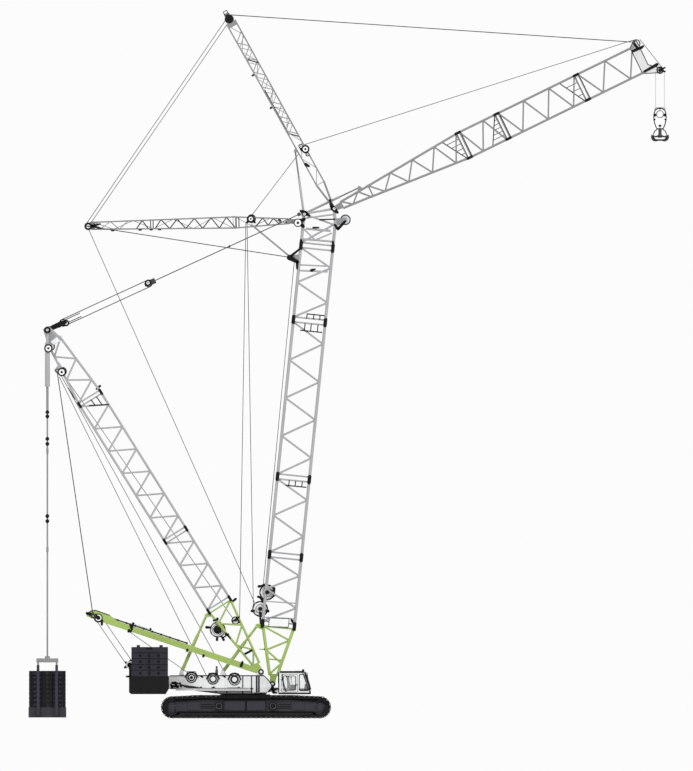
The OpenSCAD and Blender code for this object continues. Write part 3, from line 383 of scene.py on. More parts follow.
def piece(name, body, material, slot, *surfaces, smooth=False, meets=None, ends=None):
    """Object of the joined surfaces that rides on a body, or bends between it and the body that it meets."""
    p, loops, totals, flat = join(*surfaces)
    mesh = bpy.data.meshes.new(name)
    mesh.vertices.add(len(p))
    mesh.vertices.foreach_set("co", p.astype(np.float32).ravel())
    mesh.loops.add(len(loops))
    mesh.loops.foreach_set("vertex_index", loops.astype(np.int32))
    mesh.polygons.add(len(totals))
    starts = np.concatenate([[0], np.cumsum(totals)[:-1]])
    mesh.polygons.foreach_set("loop_start", starts.astype(np.int32))
    mesh.uv_layers.new(name="lay")
    mesh.update(calc_edges=True)
    mesh.validate()
    mesh.uv_layers["lay"].data.foreach_set("uv", flat.astype(np.float32).ravel())
    mesh.polygons.foreach_set("use_smooth", np.full(len(totals), smooth))
    mesh.materials.append(material)
    obj = bpy.data.objects.new(name, mesh)
    bpy.context.scene.collection.objects.link(obj)
    if meets:
        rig.blend(obj, body, meets, start=tuple(ends[0]), end=tuple(ends[1]))
    else:
        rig.ride(obj, body)
    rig.slot(obj, slot)
    return obj


class Sock:
    """Output of a shader node. Arithmetic on it adds Math nodes, also with a plain number on the left."""

    def __init__(self, finish, socket):
        self.finish = finish
        self.socket = socket

    def maths(self, operation, a, b, clamp=False):
        """Math node with the operation on a and b."""
        return self.finish.node("Math", {"operation": operation, "use_clamp": clamp}, {0: a, 1: b})

    def __add__(self, other):
        return self.maths("ADD", self, other)

    def __sub__(self, other):
        return self.maths("SUBTRACT", self, other)

    def __rsub__(self, other):
        return self.maths("SUBTRACT", other, self)

    def __mul__(self, other):
        return self.maths("MULTIPLY", self, other)

    def __truediv__(self, other):
        return self.maths("DIVIDE", self, other)

    def __rtruediv__(self, other):
        return self.maths("DIVIDE", other, self)

    __radd__ = __add__
    __rmul__ = __mul__

    def ramp(self, low, high):
        """Share of the way from low to high, held between 0 and 1."""
        return self.maths("MULTIPLY", self - low, 1.0 / (high - low), clamp=True)

    def wave(self):
        """Sine of the value, from 0 to 1."""
        return self.maths("SINE", self, 0.0) * 0.5 + 0.5


class Finish:
    """Node material of one finish, on Object coordinates in metres."""

    def __init__(self, name):
        self.material = bpy.data.materials.new(name)
        self.material.use_nodes = True
        self.tree = self.material.node_tree
        self.tree.nodes.clear()
        self.place = self.node("TexCoord", out="Object")

    def node(self, kind, settings=None, inputs=None, out=0):
        """Any node: its type, its settings, then the values or links of its sockets; gives one output."""
        made = self.tree.nodes.new("ShaderNode" + kind)
        for key, value in (settings or {}).items():
            setattr(made, key, value)
        for key, value in (inputs or {}).items():
            if isinstance(value, Sock):
                self.tree.links.new(value.socket, made.inputs[key])
            else:
                made.inputs[key].default_value = value
        return Sock(self, made.outputs[out])

    def mix(self, share, a, b):
        """Colour that goes from a to b with the share."""
        a, b = [c if isinstance(c, Sock) else (*c, 1.0) for c in (a, b)]
        return self.node("Mix", {"data_type": "RGBA"}, {0: share, 6: a, 7: b}, out=2)

    def noise(self, scale, detail=3.0, stretch=(1.0, 1.0, 1.0)):
        """Cloudy noise, finer with the scale, drawn out along an axis where the stretch is small."""
        at = self.node("Mapping", {}, {"Vector": self.place, "Scale": stretch})
        return self.node("TexNoise", {}, {"Vector": at, "Scale": scale, "Detail": detail})

    def axis(self, letter):
        """One of the coordinates X, Y or Z."""
        return self.node("SeparateXYZ", {}, {0: self.place}, out=letter)

    def bump(self, height, strength, distance):
        """Normal of a surface raised by the height."""
        settings = {"Height": height, "Strength": strength, "Distance": distance}
        return self.node("Bump", {}, settings, out="Normal")

    def done(self, **sockets):
        """Closes the material with a Principled shader that has these sockets, and gives the material."""
        named = {key.replace("_", " "): value for key, value in sockets.items()}
        colour = named["Base Color"]
        named["Base Color"] = colour if isinstance(colour, Sock) else (*colour, 1.0)
        shader = self.node("BsdfPrincipled", {}, named)
        self.node_output(shader)
        return self.material

    def node_output(self, shader):
        """Links a shader to the material's surface."""
        made = self.tree.nodes.new("ShaderNodeOutputMaterial")
        self.tree.links.new(shader.socket, made.inputs["Surface"])


def times(colour, k):
    """Colour with each channel multiplied by k."""
    return tuple(min(1.0, c * k) for c in colour)


DUST = srgb(128, 119, 104)
PRIMER = srgb(84, 80, 78)


def paint(name, colour, gloss=0.42, chips=0.5, coat=0.15, dust=0.2, shine=0.5):
    """Sprayed paint: broad tone changes, rain runs, ground dust low down, small chips and orange peel."""
    f = Finish(name)
    broad = f.noise(0.7, 4.0)
    runs = f.noise(2.6, 4.0, (4.0, 4.0, 0.3))
    fine = f.noise(34.0, 4.0)
    shade = (broad * 0.55 + runs * 0.45).ramp(0.32, 0.68)
    tone = f.mix(shade, times(colour, 0.88), times(colour, 1.07))
    low = (1.0 - f.axis("Z") / 1.5).ramp(0.0, 1.0) * fine.ramp(0.38, 0.62)
    tone = f.mix(low * dust, tone, DUST)
    chip = fine.ramp(0.66, 0.69) * broad.ramp(0.5, 0.6) * chips
    tone = f.mix(chip, tone, PRIMER)
    return f.done(Base_Color=tone, Roughness=gloss + 0.14 * runs + 0.2 * low + 0.15 * chip,
                  Coat_Weight=coat, Specular_IOR_Level=shine,
                  Normal=f.bump(f.noise(150.0, 2.0) * 0.4 - chip, 0.25, 0.002))


def casting(name, colour, grain=0.5):
    """Cast weight: sand grain, rust bloom in patches and pale scuffs along the runs of water."""
    f = Finish(name)
    patch = f.noise(1.3, 5.0)
    sand = f.noise(70.0, 3.0)
    runs = f.noise(3.0, 3.0, (3.0, 3.0, 0.25))
    tone = f.mix(patch.ramp(0.35, 0.68), times(colour, 0.82), times(colour, 1.25))
    tone = f.mix(runs.ramp(0.58, 0.75) * 0.3, tone, srgb(86, 82, 82))
    tone = f.mix(sand.ramp(0.6, 0.75) * 0.4, tone, times(colour, 0.6))
    return f.done(Base_Color=tone, Roughness=0.62 + 0.2 * sand, Specular_IOR_Level=0.2,
                  Normal=f.bump(sand * grain + patch, 0.45, 0.004))


def ground_steel(name, colour):
    """Track steel: dark scale, bright rubbed spots and soil that clings low down."""
    f = Finish(name)
    rub = f.noise(9.0, 5.0)
    pit = f.noise(60.0, 3.0)
    soil = (1.0 - f.axis("Z") / 0.5).ramp(0.0, 1.0) * f.noise(5.0, 4.0).ramp(0.42, 0.66)
    tone = f.mix(rub.ramp(0.56, 0.7), colour, times(colour, 2.2))
    tone = f.mix(soil * 0.16, tone, times(DUST, 0.4))
    return f.done(Base_Color=tone, Roughness=0.72 - 0.28 * rub.ramp(0.5, 0.7) + 0.15 * soil,
                  Metallic=0.3 - 0.25 * soil, Specular_IOR_Level=0.2, Normal=f.bump(pit + rub, 0.4, 0.003))


def machined(name, colour, metal=0.85, rough=0.34):
    """Turned or drawn steel: fine hair lines, oil stains and a thin dark film."""
    f = Finish(name)
    hair = f.noise(40.0, 3.0, (1.0, 14.0, 1.0))
    stain = f.noise(3.5, 5.0)
    tone = f.mix(stain.ramp(0.4, 0.7), colour, times(colour, 0.6))
    tone = f.mix(hair.ramp(0.55, 0.7) * 0.4, tone, times(colour, 1.5))
    return f.done(Base_Color=tone, Roughness=rough + 0.2 * stain, Metallic=metal,
                  Normal=f.bump(hair, 0.12, 0.001))


def wire_rope(name, colour):
    """Laid rope: six strands that wind round along the flat map, with painted highlights on them, painted shade in the
    grooves between them, and patches of grease.
    """
    f = Finish(name)
    lay = f.node("SeparateXYZ", {}, {0: f.node("UVMap", {"uv_map": "lay"})}, out="X")
    run = f.node("SeparateXYZ", {}, {0: f.node("UVMap", {"uv_map": "lay"})}, out="Y")
    strand = ((lay * 6.0 + run * 0.5) * (2 * math.pi)).wave()
    grease = f.noise(4.0, 4.0)
    # Painted highlight on the strands' crowns and painted shade in the grooves between them, following the strand wave
    # that also raises the bump
    tone = f.mix(strand, times(colour, 0.55), times(colour, 1.5))
    tone = f.mix(grease.ramp(0.5, 0.7) * 0.5, tone, times(colour, 0.5))
    return f.done(Base_Color=tone, Roughness=0.5 - 0.15 * strand, Metallic=0.6,
                  Normal=f.bump(strand, 0.6, 0.003))


def pane(name, colour):
    """Window glass: clear, with faint wiping marks in its gloss and in how much it lets through."""
    f = Finish(name)
    wipe = f.noise(6.0, 3.0, (1.0, 1.0, 3.0))
    return f.done(Base_Color=f.mix(wipe, colour, times(colour, 0.93)), Roughness=0.02 + 0.05 * wipe,
                  Alpha=0.10 + 0.06 * wipe, IOR=1.45)


def lens(name, colour):
    """Lamp glass: ribbed and lit from within by a little."""
    f = Finish(name)
    rib = (f.axis("Z") * 260.0).wave()
    return f.done(Base_Color=f.mix(rib, times(colour, 0.8), colour), Roughness=0.12, Coat_Weight=0.6,
                  Emission_Color=(*colour, 1.0), Emission_Strength=0.25, Normal=f.bump(rib, 0.4, 0.003))


def cloth(name, colour):
    """Seat cover: crossing threads and a soft nap."""
    f = Finish(name)
    weft = (f.axis("X") * 900.0).wave() * (f.axis("Y") * 900.0 + f.axis("Z") * 900.0).wave()
    nap = f.noise(30.0, 4.0)
    tone = f.mix(weft * 0.6 + nap * 0.4, times(colour, 0.7), times(colour, 1.5))
    return f.done(Base_Color=tone, Roughness=0.86 + 0.1 * nap, Sheen_Weight=0.3,
                  Normal=f.bump(weft, 0.3, 0.001))


def rubber(name, colour):
    """Hose and seal rubber: grey bloom over black and a fine grain."""
    f = Finish(name)
    bloom = f.noise(7.0, 5.0)
    return f.done(Base_Color=f.mix(bloom.ramp(0.4, 0.7), colour, times(colour, 1.9)),
                  Roughness=0.58 + 0.2 * bloom, Normal=f.bump(f.noise(90.0, 2.0), 0.2, 0.001))


def tread(name, colour):
    """Walkway plate: raised bars that cross in squares, rubbed bright on top, with dust between them."""
    f = Finish(name)
    a = (f.axis("X") * 120.0 + f.axis("Y") * 120.0).wave()
    b = (f.axis("X") * 120.0 - f.axis("Y") * 120.0).wave()
    bar = a.maths("MAXIMUM", a.ramp(0.72, 0.9), b.ramp(0.72, 0.9))
    worn = f.noise(5.0, 4.0)
    tone = f.mix(bar, times(colour, 0.75), times(colour, 1.2))
    tone = f.mix(worn.ramp(0.45, 0.7) * 0.35, tone, DUST)
    return f.done(Base_Color=tone, Roughness=0.6 - 0.2 * bar, Metallic=0.3, Normal=f.bump(bar, 0.6, 0.003))


def colour(name, levels, words):
    """Property for a paint colour given as screen levels."""
    return bpy.props.FloatVectorProperty(name=name, description=words, default=srgb(*levels), size=3,
                                         subtype="COLOR", min=0.0, max=1.0)


def length(name, metres, words):
    """Property for a length in metres."""
    return bpy.props.FloatProperty(name=name, description=words, default=metres, min=0.001, unit="LENGTH")


class CraneColours(bpy.types.PropertyGroup):
    """Colours of the crane's finishes."""

    lime: colour("Lime", (158, 184, 92), "Boom foot, derrick foot, live mast and backstops")
    lattice: colour("Lattice", (164, 166, 167), "Lattice sections of boom, jib and masts")
    cover: colour("Covers", (238, 240, 240), "Deck frame, engine cover and cab")
    frame: colour("Track frames", (48, 48, 58), "Track frames and centre body")
    weight: colour("Weights", (41, 40, 48), "Counterweight and hanging ballast")
    track: colour("Tracks", (15, 13, 15), "Track shoes")
    black: colour("Black", (12, 12, 13), "Winches, sheaves, pins and brackets")
    steel: colour("Steel", (120, 122, 126), "Machined rods and pins")
    rope: colour("Rope", (70, 70, 74), "Wire ropes")
    floor: colour("Floor", (240, 240, 240), "Floor and backdrop")


class CraneSizes(bpy.types.PropertyGroup):
    """Sizes of the crane's fittings."""

    rope: length("Rope radius", 0.012, "Radius of the hoist and luffing ropes")
    rung: length("Rung gap", 0.150, "Distance between the rungs of a ladder")
    bolt: length("Bolt radius", 0.018, "Radius of the larger bolt heads")


# Finishes: name, kind, the setting or colour that tints it, the share of that colour, other settings
FINISHES = (
    ("lime paint", paint, "lime", 1.0, {}),
    ("lattice paint", paint, "lattice", 1.0, {"gloss": 0.48}),
    ("strut paint", paint, "lattice", 0.62, {"gloss": 0.48}),
    ("cover paint", paint, "cover", 1.0, {"gloss": 0.36, "coat": 0.3}),
    ("panel paint", paint, "cover", 0.80, {"gloss": 0.40, "coat": 0.2}),
    ("frame paint", paint, "frame", 1.0, {"gloss": 0.5, "coat": 0.0, "dust": 0.08, "shine": 0.2}),
    ("dark paint", paint, "track", 1.0,
     {"gloss": 0.5, "chips": 0.3, "coat": 0.0, "dust": 0.05, "shine": 0.15}),
    ("black paint", paint, "black", 1.0,
     {"gloss": 0.46, "chips": 0.1, "coat": 0.0, "dust": 0.05, "shine": 0.15}),
    ("weight casting", casting, "weight", 1.0, {}),
    ("track steel", ground_steel, "track", 1.0, {}),
    ("bright steel", machined, "steel", 1.0, {}),
    ("dark steel", machined, "steel", 0.35, {"metal": 0.7, "rough": 0.4}),
    ("wire rope", wire_rope, "rope", 1.0, {}),
    ("window glass", pane, srgb(246, 250, 250), 1.0, {}),
    ("lamp lens", lens, srgb(250, 244, 224), 1.0, {}),
    ("seat cloth", cloth, srgb(128, 130, 134), 1.0, {}),
    ("hose rubber", rubber, srgb(26, 26, 28), 1.0, {}),
    ("walkway plate", tread, srgb(214, 216, 216), 1.0, {}),
)

# Finish of each CAD node that isn't painted as the lattice is
NODE_FINISH = {
    "lime paint": "boom_base derrick_base live_mast boom_stop_tubes boom_stop_rods derrick_stop_tubes "
                  "derrick_stop_rods",
    "cover paint": "deck engine_cover cab_body cab_side_left cab_side_right cab_roof cab_door",
    "strut paint": "jib_base jib_insert_1 jib_insert_2 jib_head front_strut rear_strut ballast_rods",
    "frame paint": "carbody track_frame_left track_frame_right ballast_tray",
    "dark paint": "counterweight_base",
    "weight casting": "counterweight_left counterweight_right ballast_blocks",
    "track steel": "track_left track_right",
    "black paint": "winch_rear winch_middle winch_front boom_winch_low boom_winch_high boom_tackle "
                   "tip_sheaves",
    "dark steel": "engine hook boom_rope rear_pendants jib_pendants derrick_pendants boom_pendants",
    "bright steel": "strut_stop_rod jib_stop_rod",
    "seat cloth": "cab_seat",
}


def finish(name):
    """The finish of that name."""
    return bpy.data.materials[name]


class CRANE_OT_finishes(bpy.types.Operator):
    """Makes the finishes and puts them on the CAD nodes"""

    bl_idname = "crane.finishes"
    bl_label = "Finishes"

    def execute(self, context):
        colours = context.scene.crane_colours
        for name, kind, tint, share, settings in FINISHES:
            tone = getattr(colours, tint) if isinstance(tint, str) else tint
            kind(name, times(tone, share), **settings)
        chosen = {node: name for name, nodes in NODE_FINISH.items() for node in nodes.split()}
        for node, obj in frame["nodes"].items():
            obj.data.materials.clear()
            obj.data.materials.append(finish(chosen.get(node, "lattice paint")))
        return {"FINISHED"}


# Shafts of the winches on the deck, the boom and the derrick
REAR_WINCH = np.array([-1.926, 0.0, 1.440])
MIDDLE_WINCH = np.array([-1.152, 0.0, 1.386])
FRONT_WINCH = np.array([-0.378, 0.0, 1.368])
LOW_WINCH, HIGH_WINCH = BOOM.at(2.645, -0.714), BOOM.at(3.265, -0.523)
DERRICK_WINCH = DERRICK.at(2.118, -0.514)
# Shafts of the sheaves at the counterweight, the live mast's tip, the jib's tip and the tackle's two blocks
WEIGHT_SHAFT = np.array([-4.116, 0.0, 1.89])
MAST_SHAFT = MAST.at(6.17)
HOOK_X = 14.9397
TIP_SHAFT = np.array([HOOK_X, 0.0, 23.3026])
TACKLE_UPPER, TACKLE_LOWER = 0.62, 4.018


def from_side(*points):
    """World points of (x, z, y) rows."""
    p = np.asarray(points, float).reshape(-1, 3)
    return p[:, [0, 2, 1]]


def rope(a, b, radius):
    """Taut rope: a bar from a to b whose flat map repeats along its length."""
    p, loops, totals, flat = bars(a, b, radius, 8)
    run = np.linalg.norm(np.asarray(b, float) - np.asarray(a, float))
    return p, loops, totals, flat * [1.0, run / 0.12]


# Taut ropes on one body: name, body, then both ends as (x, z, y)
RIDING_ROPES = (
    ("rear_strut_rope", "boom", (-5.645, 17.610, 0.035), (0.345, 4.130, 0.035)),
    ("jib_hoist_rope", "jib", (2.130, 20.620, 0.04), (13.985, 24.390, 0.04)),
    ("jib_head_rope", "jib", (14.210, 24.420, 0.02), (15.010, 23.410, 0.02)),
    ("boom_drum_rope", "boom", (1.778, 16.470, -0.30), (0.647, 4.660, -0.30)),
    ("derrick_drum_rope", "derrick", (-6.500, 12.290, 0.05), (-0.432, 3.560, 0.05)),
)
# Taut ropes between two bodies: name, both bodies, then both ends as (x, z, y)
BENDING_ROPES = (
    ("strut_rope", "boom", "jib", (0.190, 18.010, 0.05), (1.960, 20.330, 0.05)),
    ("drum_rope_rear", "boom", "upperworks", (0.030, 17.840, -0.10), (-0.193, 3.605, -0.10)),
    ("strut_fall_left", "boom", "jib", (-5.720, 17.760, 0.16), (-0.650, 25.180, 0.16)),
    ("strut_fall_middle", "boom", "jib", (-5.620, 17.700, 0.03), (-0.560, 25.080, 0.03)),
    ("strut_fall_right", "boom", "jib", (-5.720, 17.760, -0.16), (-0.650, 25.180, -0.16)),
    ("middle_hoist_rope", "upperworks", "derrick", (-1.370, 1.470, 0.12), (-6.690, 12.270, 0.12)),
    ("front_hoist_rope", "upperworks", "derrick", (-0.655, 1.480, -0.12), (-6.610, 12.290, -0.12)),
    ("mast_drum_rope", "upperworks", "mast", (-2.060, 1.610, 0.20), (-4.210, 3.120, 0.20)),
)
# Falls of both tackles: the place across the machine, and across the rope's line
TACKLE_FALLS = [(y, n) for y in (-0.11, 0.0, 0.11) for n in (-0.125, 0.125)]
MAST_FALLS = [(0.76, -0.14), (0.84, 0.14), (-0.76, -0.14), (-0.84, 0.14)]


class CRANE_OT_reeving(bpy.types.Operator):
    """Runs the taut ropes between winches, sheaves and blocks"""

    bl_idname = "crane.reeving"
    bl_label = "Reeving"

    def execute(self, context):
        r = context.scene.crane_sizes.rope
        wire = finish("wire rope")
        for name, body, *ends in RIDING_ROPES:
            a, b = from_side(*ends)
            piece(name, body, wire, "bare_steel", rope(a, b, r), smooth=True)
        for name, body, other, *ends in BENDING_ROPES:
            a, b = from_side(*ends)
            piece(name, body, wire, "bare_steel", rope(a, b, r), smooth=True, meets=other, ends=(a, b))
        falls = [rope(TACKLE.at(TACKLE_UPPER, n, y), TACKLE.at(TACKLE_LOWER, n, y), 1.4 * r)
                 for y, n in TACKLE_FALLS]
        piece("boom_tackle_falls", "tackle_upper", wire, "bare_steel", *falls, smooth=True,
              meets="tackle_lower", ends=(TACKLE.at(0.7), TACKLE.at(3.9)))
        falls = [rope(WEIGHT_SHAFT + [n, y, 0.0], MAST_SHAFT + [n, 0.43 * y, 0.0], r) for y, n in MAST_FALLS]
        piece("mast_tackle_falls", "upperworks", wire, "bare_steel", *falls, smooth=True, meets="mast",
              ends=(WEIGHT_SHAFT + [0.0, 0.0, 0.11], MAST_SHAFT - [0.0, 0.0, 0.1]))
        return {"FINISHED"}


# Sheaves: name, body, shaft place, radius, half width and the sides across the machine that carry one
SHEAVES = (
    ("nose_sheave", "boom", BOOM.at(16.891, 0.922), 0.180, 0.040, (0.0,)),
    ("rear_tip_sheave", "boom", REAR.at(7.391), 0.130, 0.050, (0.0,)),
    ("rear_mid_sheave", "boom", REAR.at(1.634, 0.12), 0.150, 0.040, (0.0,)),
    ("front_tip_sheave", "jib", FRONT.at(7.8), 0.155, 0.050, (0.0,)),
    ("front_pulley", "jib", FRONT.at(2.382, 0.13), 0.140, 0.040, (0.0,)),
    ("jib_top_sheave", "jib", JIB.at(12.375, -0.556), 0.144, 0.050, (0.0,)),
    ("derrick_top_sheave", "derrick", DERRICK.at(13.943, -0.22), 0.150, 0.050, (0.0,)),
    ("derrick_low_sheave", "derrick", DERRICK.at(12.963, -0.33), 0.150, 0.050, (0.0,)),
    ("mast_sheaves", "mast", MAST_SHAFT, 0.162, 0.040, (-0.3, 0.0, 0.3)),
    ("weight_sheaves", "upperworks", WEIGHT_SHAFT, 0.144, 0.025, (-0.845, -0.755, 0.755, 0.845)),
    ("tackle_upper_sheaves", "tackle_upper", TACKLE.at(TACKLE_UPPER), 0.130, 0.025, (-0.11, 0.0, 0.11)),
    ("tackle_lower_sheaves", "tackle_lower", TACKLE.at(TACKLE_LOWER), 0.130, 0.025, (-0.11, 0.0, 0.11)),
    ("tip_wheels", "tip", TIP_SHAFT, 0.126, 0.040, (-0.15, 0.15)),
)


def around(place, radius, count, y, start=0.0):
    """Places on a circle in the x z plane about a place, moved y across."""
    a = start + angles(count)
    return np.asarray(place) + np.stack([radius * np.cos(a), np.full(count, y), radius * np.sin(a)], -1)


def bolt(radius, out=1.0, axis="y"):
    """Hexagon bolt head on a washer, pointing out along the axis."""
    r, k = radius, out * radius
    profile = [(-0.2 * k, 1.35 * r), (0.15 * k, 1.35 * r), (0.15 * k, r), (0.75 * k, r), (0.9 * k, 0.8 * r)]
    return lathe(profile if out > 0 else profile[::-1], 6, axis)


class CRANE_OT_sheaves(bpy.types.Operator):
    """Dresses every sheave with a grooved rim, a hub and pale webs"""

    bl_idname = "crane.sheaves"
    bl_label = "Sheaves"

    def execute(self, context):
        for name, body, place, r, half, sides in SHEAVES:
            at = [place + [0.0, y, 0.0] for y in sides]
            top, bed, lip = r + 0.012, r + 0.002, half + 0.006
            rim = spindle([(half, 0.86 * r), (half, top), (0.7 * half, top), (0.25 * half, bed)])
            # The rim's inner edge stands out a little on one side
            rim[0] = (-1.02 * half, 0.86 * r)
            hub = spindle([(half + 0.05, 0.16 * r), (half + 0.045, 0.22 * r), (half + 0.012, 0.22 * r),
                           (lip, 0.34 * r)])
            web = ((half, 0.80 * r), (lip, 0.78 * r), (lip, 0.42 * r), (half, 0.40 * r))
            webs = [hoop(facing(web, side), 40) for side in (1, -1)]
            piece(name, body, finish("black paint"), "bare_steel",
                  copies(join(hoop(rim, 40), lathe(hub, 24)), at))
            piece(name + "_web", body, finish("cover paint"), "bare_steel",
                  copies(join(*webs), at))
        return {"FINISHED"}


# Drums with rope on them: name, body, shaft place, rope radius on the drum, half length
DRUMS = (
    ("winding_rear", "upperworks", REAR_WINCH, 0.190, 0.54),
    ("winding_middle", "upperworks", MIDDLE_WINCH, 0.206, 0.54),
    ("winding_front", "upperworks", FRONT_WINCH, 0.222, 0.54),
    ("winding_boom_low", "boom", LOW_WINCH, 0.250, 0.40),
    ("winding_boom_high", "boom", HIGH_WINCH, 0.250, 0.40),
    ("winding_derrick", "derrick", DERRICK_WINCH, 0.250, 0.40),
)


class CRANE_OT_windings(bpy.types.Operator):
    """Winds rope on the winch drums"""

    bl_idname = "crane.windings"
    bl_label = "Windings"

    def execute(self, context):
        r = context.scene.crane_sizes.rope
        for name, body, place, radius, half in DRUMS:
            turns = int(2 * half / (2.3 * r))
            a = np.linspace(0, 2 * np.pi * turns, 26 * turns)
            along = np.linspace(-half, half, len(a))
            coil = tube(place + np.stack([radius * np.cos(a), along, radius * np.sin(a)], -1), r, 6)
            layer = lathe([(-half, radius - 0.4 * r), (half, radius - 0.4 * r)], 32)
            piece(name, body, finish("wire rope"), "bare_steel", coil, copies(layer, place), smooth=True)
        return {"FINISHED"}


# Links: name, body, inner and outer face from the middle plane, then rows of (x, z, radius) twice
LINKS = (
    ("boom_winch_brackets", "boom", 0.49, 0.53, (
        (0.322, 3.850, 0.040, 0.252, 3.834, 0.054),
        (0.770, 3.850, 0.040, 0.828, 3.834, 0.058),
        (1.010, 4.560, 0.040, 1.050, 4.580, 0.050),
        (0.576, 4.300, 0.058, 0.640, 4.215, 0.050),
        (0.500, 4.720, 0.052, 0.600, 4.740, 0.036),
        (0.640, 4.760, 0.040, 0.745, 4.790, 0.046),
        (0.478, 4.345, 0.048, 0.570, 4.320, 0.036),
        (1.055, 4.650, 0.046, 0.990, 4.690, 0.030),
        (1.040, 4.380, 0.042, 0.980, 4.340, 0.030),
        (0.544, 3.798, 0.043, 0.558, 3.308, 0.029),
        (1.764, 3.380, 0.058, 1.674, 3.510, 0.043),
    )),
    ("boom_head_clusters", "boom", 0.57, 0.62, (
        (2.160, 18.162, 0.086, 2.016, 18.234, 0.050),
        (2.160, 18.162, 0.086, 2.304, 18.072, 0.047),
        (1.933, 17.816, 0.094, 2.142, 17.946, 0.054),
        (1.933, 17.816, 0.094, 2.106, 17.676, 0.054),
        (3.182, 18.317, 0.094, 3.082, 18.486, 0.050),
        (3.182, 18.317, 0.094, 3.330, 18.180, 0.047),
        (3.348, 17.586, 0.054, 3.600, 17.856, 0.050),
        (3.348, 17.586, 0.054, 3.240, 17.730, 0.043),
        (2.700, 17.924, 0.025, 3.240, 17.939, 0.025),
        (2.448, 17.640, 0.029, 2.650, 17.640, 0.029),
        (2.401, 16.099, 0.058, 2.538, 16.146, 0.022),
        (1.600, 16.560, 0.100, 1.890, 16.398, 0.061),
        (1.640, 16.600, 0.050, 1.960, 16.860, 0.036),
        (1.880, 16.400, 0.055, 1.870, 16.160, 0.034),
        (2.016, 17.190, 0.043, 1.994, 16.938, 0.043),
        (3.168, 17.118, 0.043, 3.146, 16.848, 0.043),
    )),
    ("rear_strut_clusters", "boom", 0.30, 0.34, (
        (1.933, 17.816, 0.050, 1.476, 17.824, 0.036),
        (1.584, 17.816, 0.054, 1.498, 17.816, 0.054),
        (1.267, 17.867, 0.054, 1.202, 17.960, 0.032),
        (0.216, 17.964, 0.072, 0.360, 17.820, 0.036),
        (0.216, 17.964, 0.072, 0.072, 17.820, 0.036),
        (-5.508, 17.694, 0.047, -5.220, 17.622, 0.032),
        (-5.508, 17.694, 0.047, -5.220, 17.766, 0.032),
    )),
    ("front_strut_clusters", "jib", 0.29, 0.33, (
        (2.052, 20.452, 0.072, 2.196, 20.340, 0.043),
        (2.052, 20.452, 0.072, 1.962, 20.592, 0.040),
        (3.060, 18.630, 0.043, 3.114, 18.396, 0.065),
        (2.182, 19.915, 0.058, 2.297, 19.847, 0.043),
    )),
    ("derrick_clusters", "derrick", 0.49, 0.53, (
        (-1.255, 3.240, 0.040, -1.382, 3.247, 0.054),
        (-1.000, 2.900, 0.036, -1.008, 2.797, 0.050),
        (-0.830, 2.900, 0.036, -0.770, 2.797, 0.050),
        (-0.700, 2.990, 0.036, -0.612, 2.970, 0.044),
        (-1.010, 3.470, 0.036, -0.990, 3.560, 0.046),
        (-0.220, 3.560, 0.044, -0.216, 3.430, 0.044),
        (-0.338, 4.266, 0.047, -0.450, 4.176, 0.040),
        (-5.220, 11.934, 0.043, -5.346, 11.826, 0.036),
    )),
    ("mast_clusters", "mast", 0.865, 0.885, (
        (-0.140, 1.860, 0.050, -0.090, 2.000, 0.040),
        (-1.501, 2.200, 0.046, -1.485, 2.245, 0.036),
        (-2.084, 2.400, 0.046, -2.068, 2.445, 0.036),
        (-4.190, 3.100, 0.050, -4.172, 3.150, 0.040),
        (-5.688, 3.762, 0.043, -5.382, 3.643, 0.086),
        (-5.155, 3.348, 0.043, -5.148, 3.492, 0.043),
        (-4.122, 3.348, 0.047, -4.093, 3.222, 0.040),
    )),
)


def link(x0, z0, r0, x1, z1, r1, low, high, steps=9):
    """Plate round two pins: the tangents of both circles with the far arc of each, and a pin head in both."""
    run = math.hypot(x1 - x0, z1 - z0)
    way = math.atan2(z1 - z0, x1 - x0)
    lean = math.acos(max(-1.0, min(1.0, (r0 - r1) / run)))
    first = way + np.linspace(lean, 2 * np.pi - lean, steps)
    last = way + np.linspace(-lean, lean, steps)
    outline = np.concatenate([np.stack([x0 + r0 * np.cos(first), z0 + r0 * np.sin(first)], -1),
                              np.stack([x1 + r1 * np.cos(last), z1 + r1 * np.sin(last)], -1)])
    out = 0.012
    head = ((low - out, 0.4), (low - 0.7 * out, 0.5), (high + 0.7 * out, 0.5), (high + out, 0.4))
    heads = [copies(lathe([(y, share * r) for y, share in head], 16), [(x, 0.0, z)])
             for x, z, r in ((x0, z0, r0), (x1, z1, r1))]
    return join(shape(outline, low, high, 0.004), *heads)


def forks(arm, joints, front, half, chord):
    """Pinned forks at the section joints: plates on both faces of each chord, with two pins through them."""
    w, reach, gap = 1.15 * chord, 2.9 * chord, 1.2 * chord
    outline = [(-w, -0.8 * reach), (-0.6 * w, -reach), (0.6 * w, -reach), (w, -0.8 * reach), (w, 0.8 * reach),
               (0.6 * w, reach), (-0.6 * w, reach), (-w, 0.8 * reach)]
    r = 0.42 * chord
    pin = stub(gap + 0.042, 0.006, r, 0.7 * r, 14)
    local = join(shape(outline, gap, gap + 0.022), shape(outline, -gap - 0.022, -gap),
                 copies(pin, [(0.0, 0.0, -0.45 * reach), (0.0, 0.0, 0.45 * reach)]))
    s, n, y = np.meshgrid(joints, (-front, front), (-half, half), indexing="ij")
    return copies(local, arm.at(s, n, y).reshape(-1, 3), arm.turn())


def ladder(arm, low, high, n, y, wide, rung, rail=0.016):
    """Ladder along an arm: two rails and rungs one pitch apart between them, in the face at n."""
    steps = np.arange(low + 0.5 * rung, high, rung)
    return join(bars(arm.at([low, low], n, [y, y + wide]), arm.at([high, high], n, [y, y + wide]), rail),
                bars(arm.at(steps, n, y), arm.at(steps, n, y + wide), 0.7 * rail, 6))


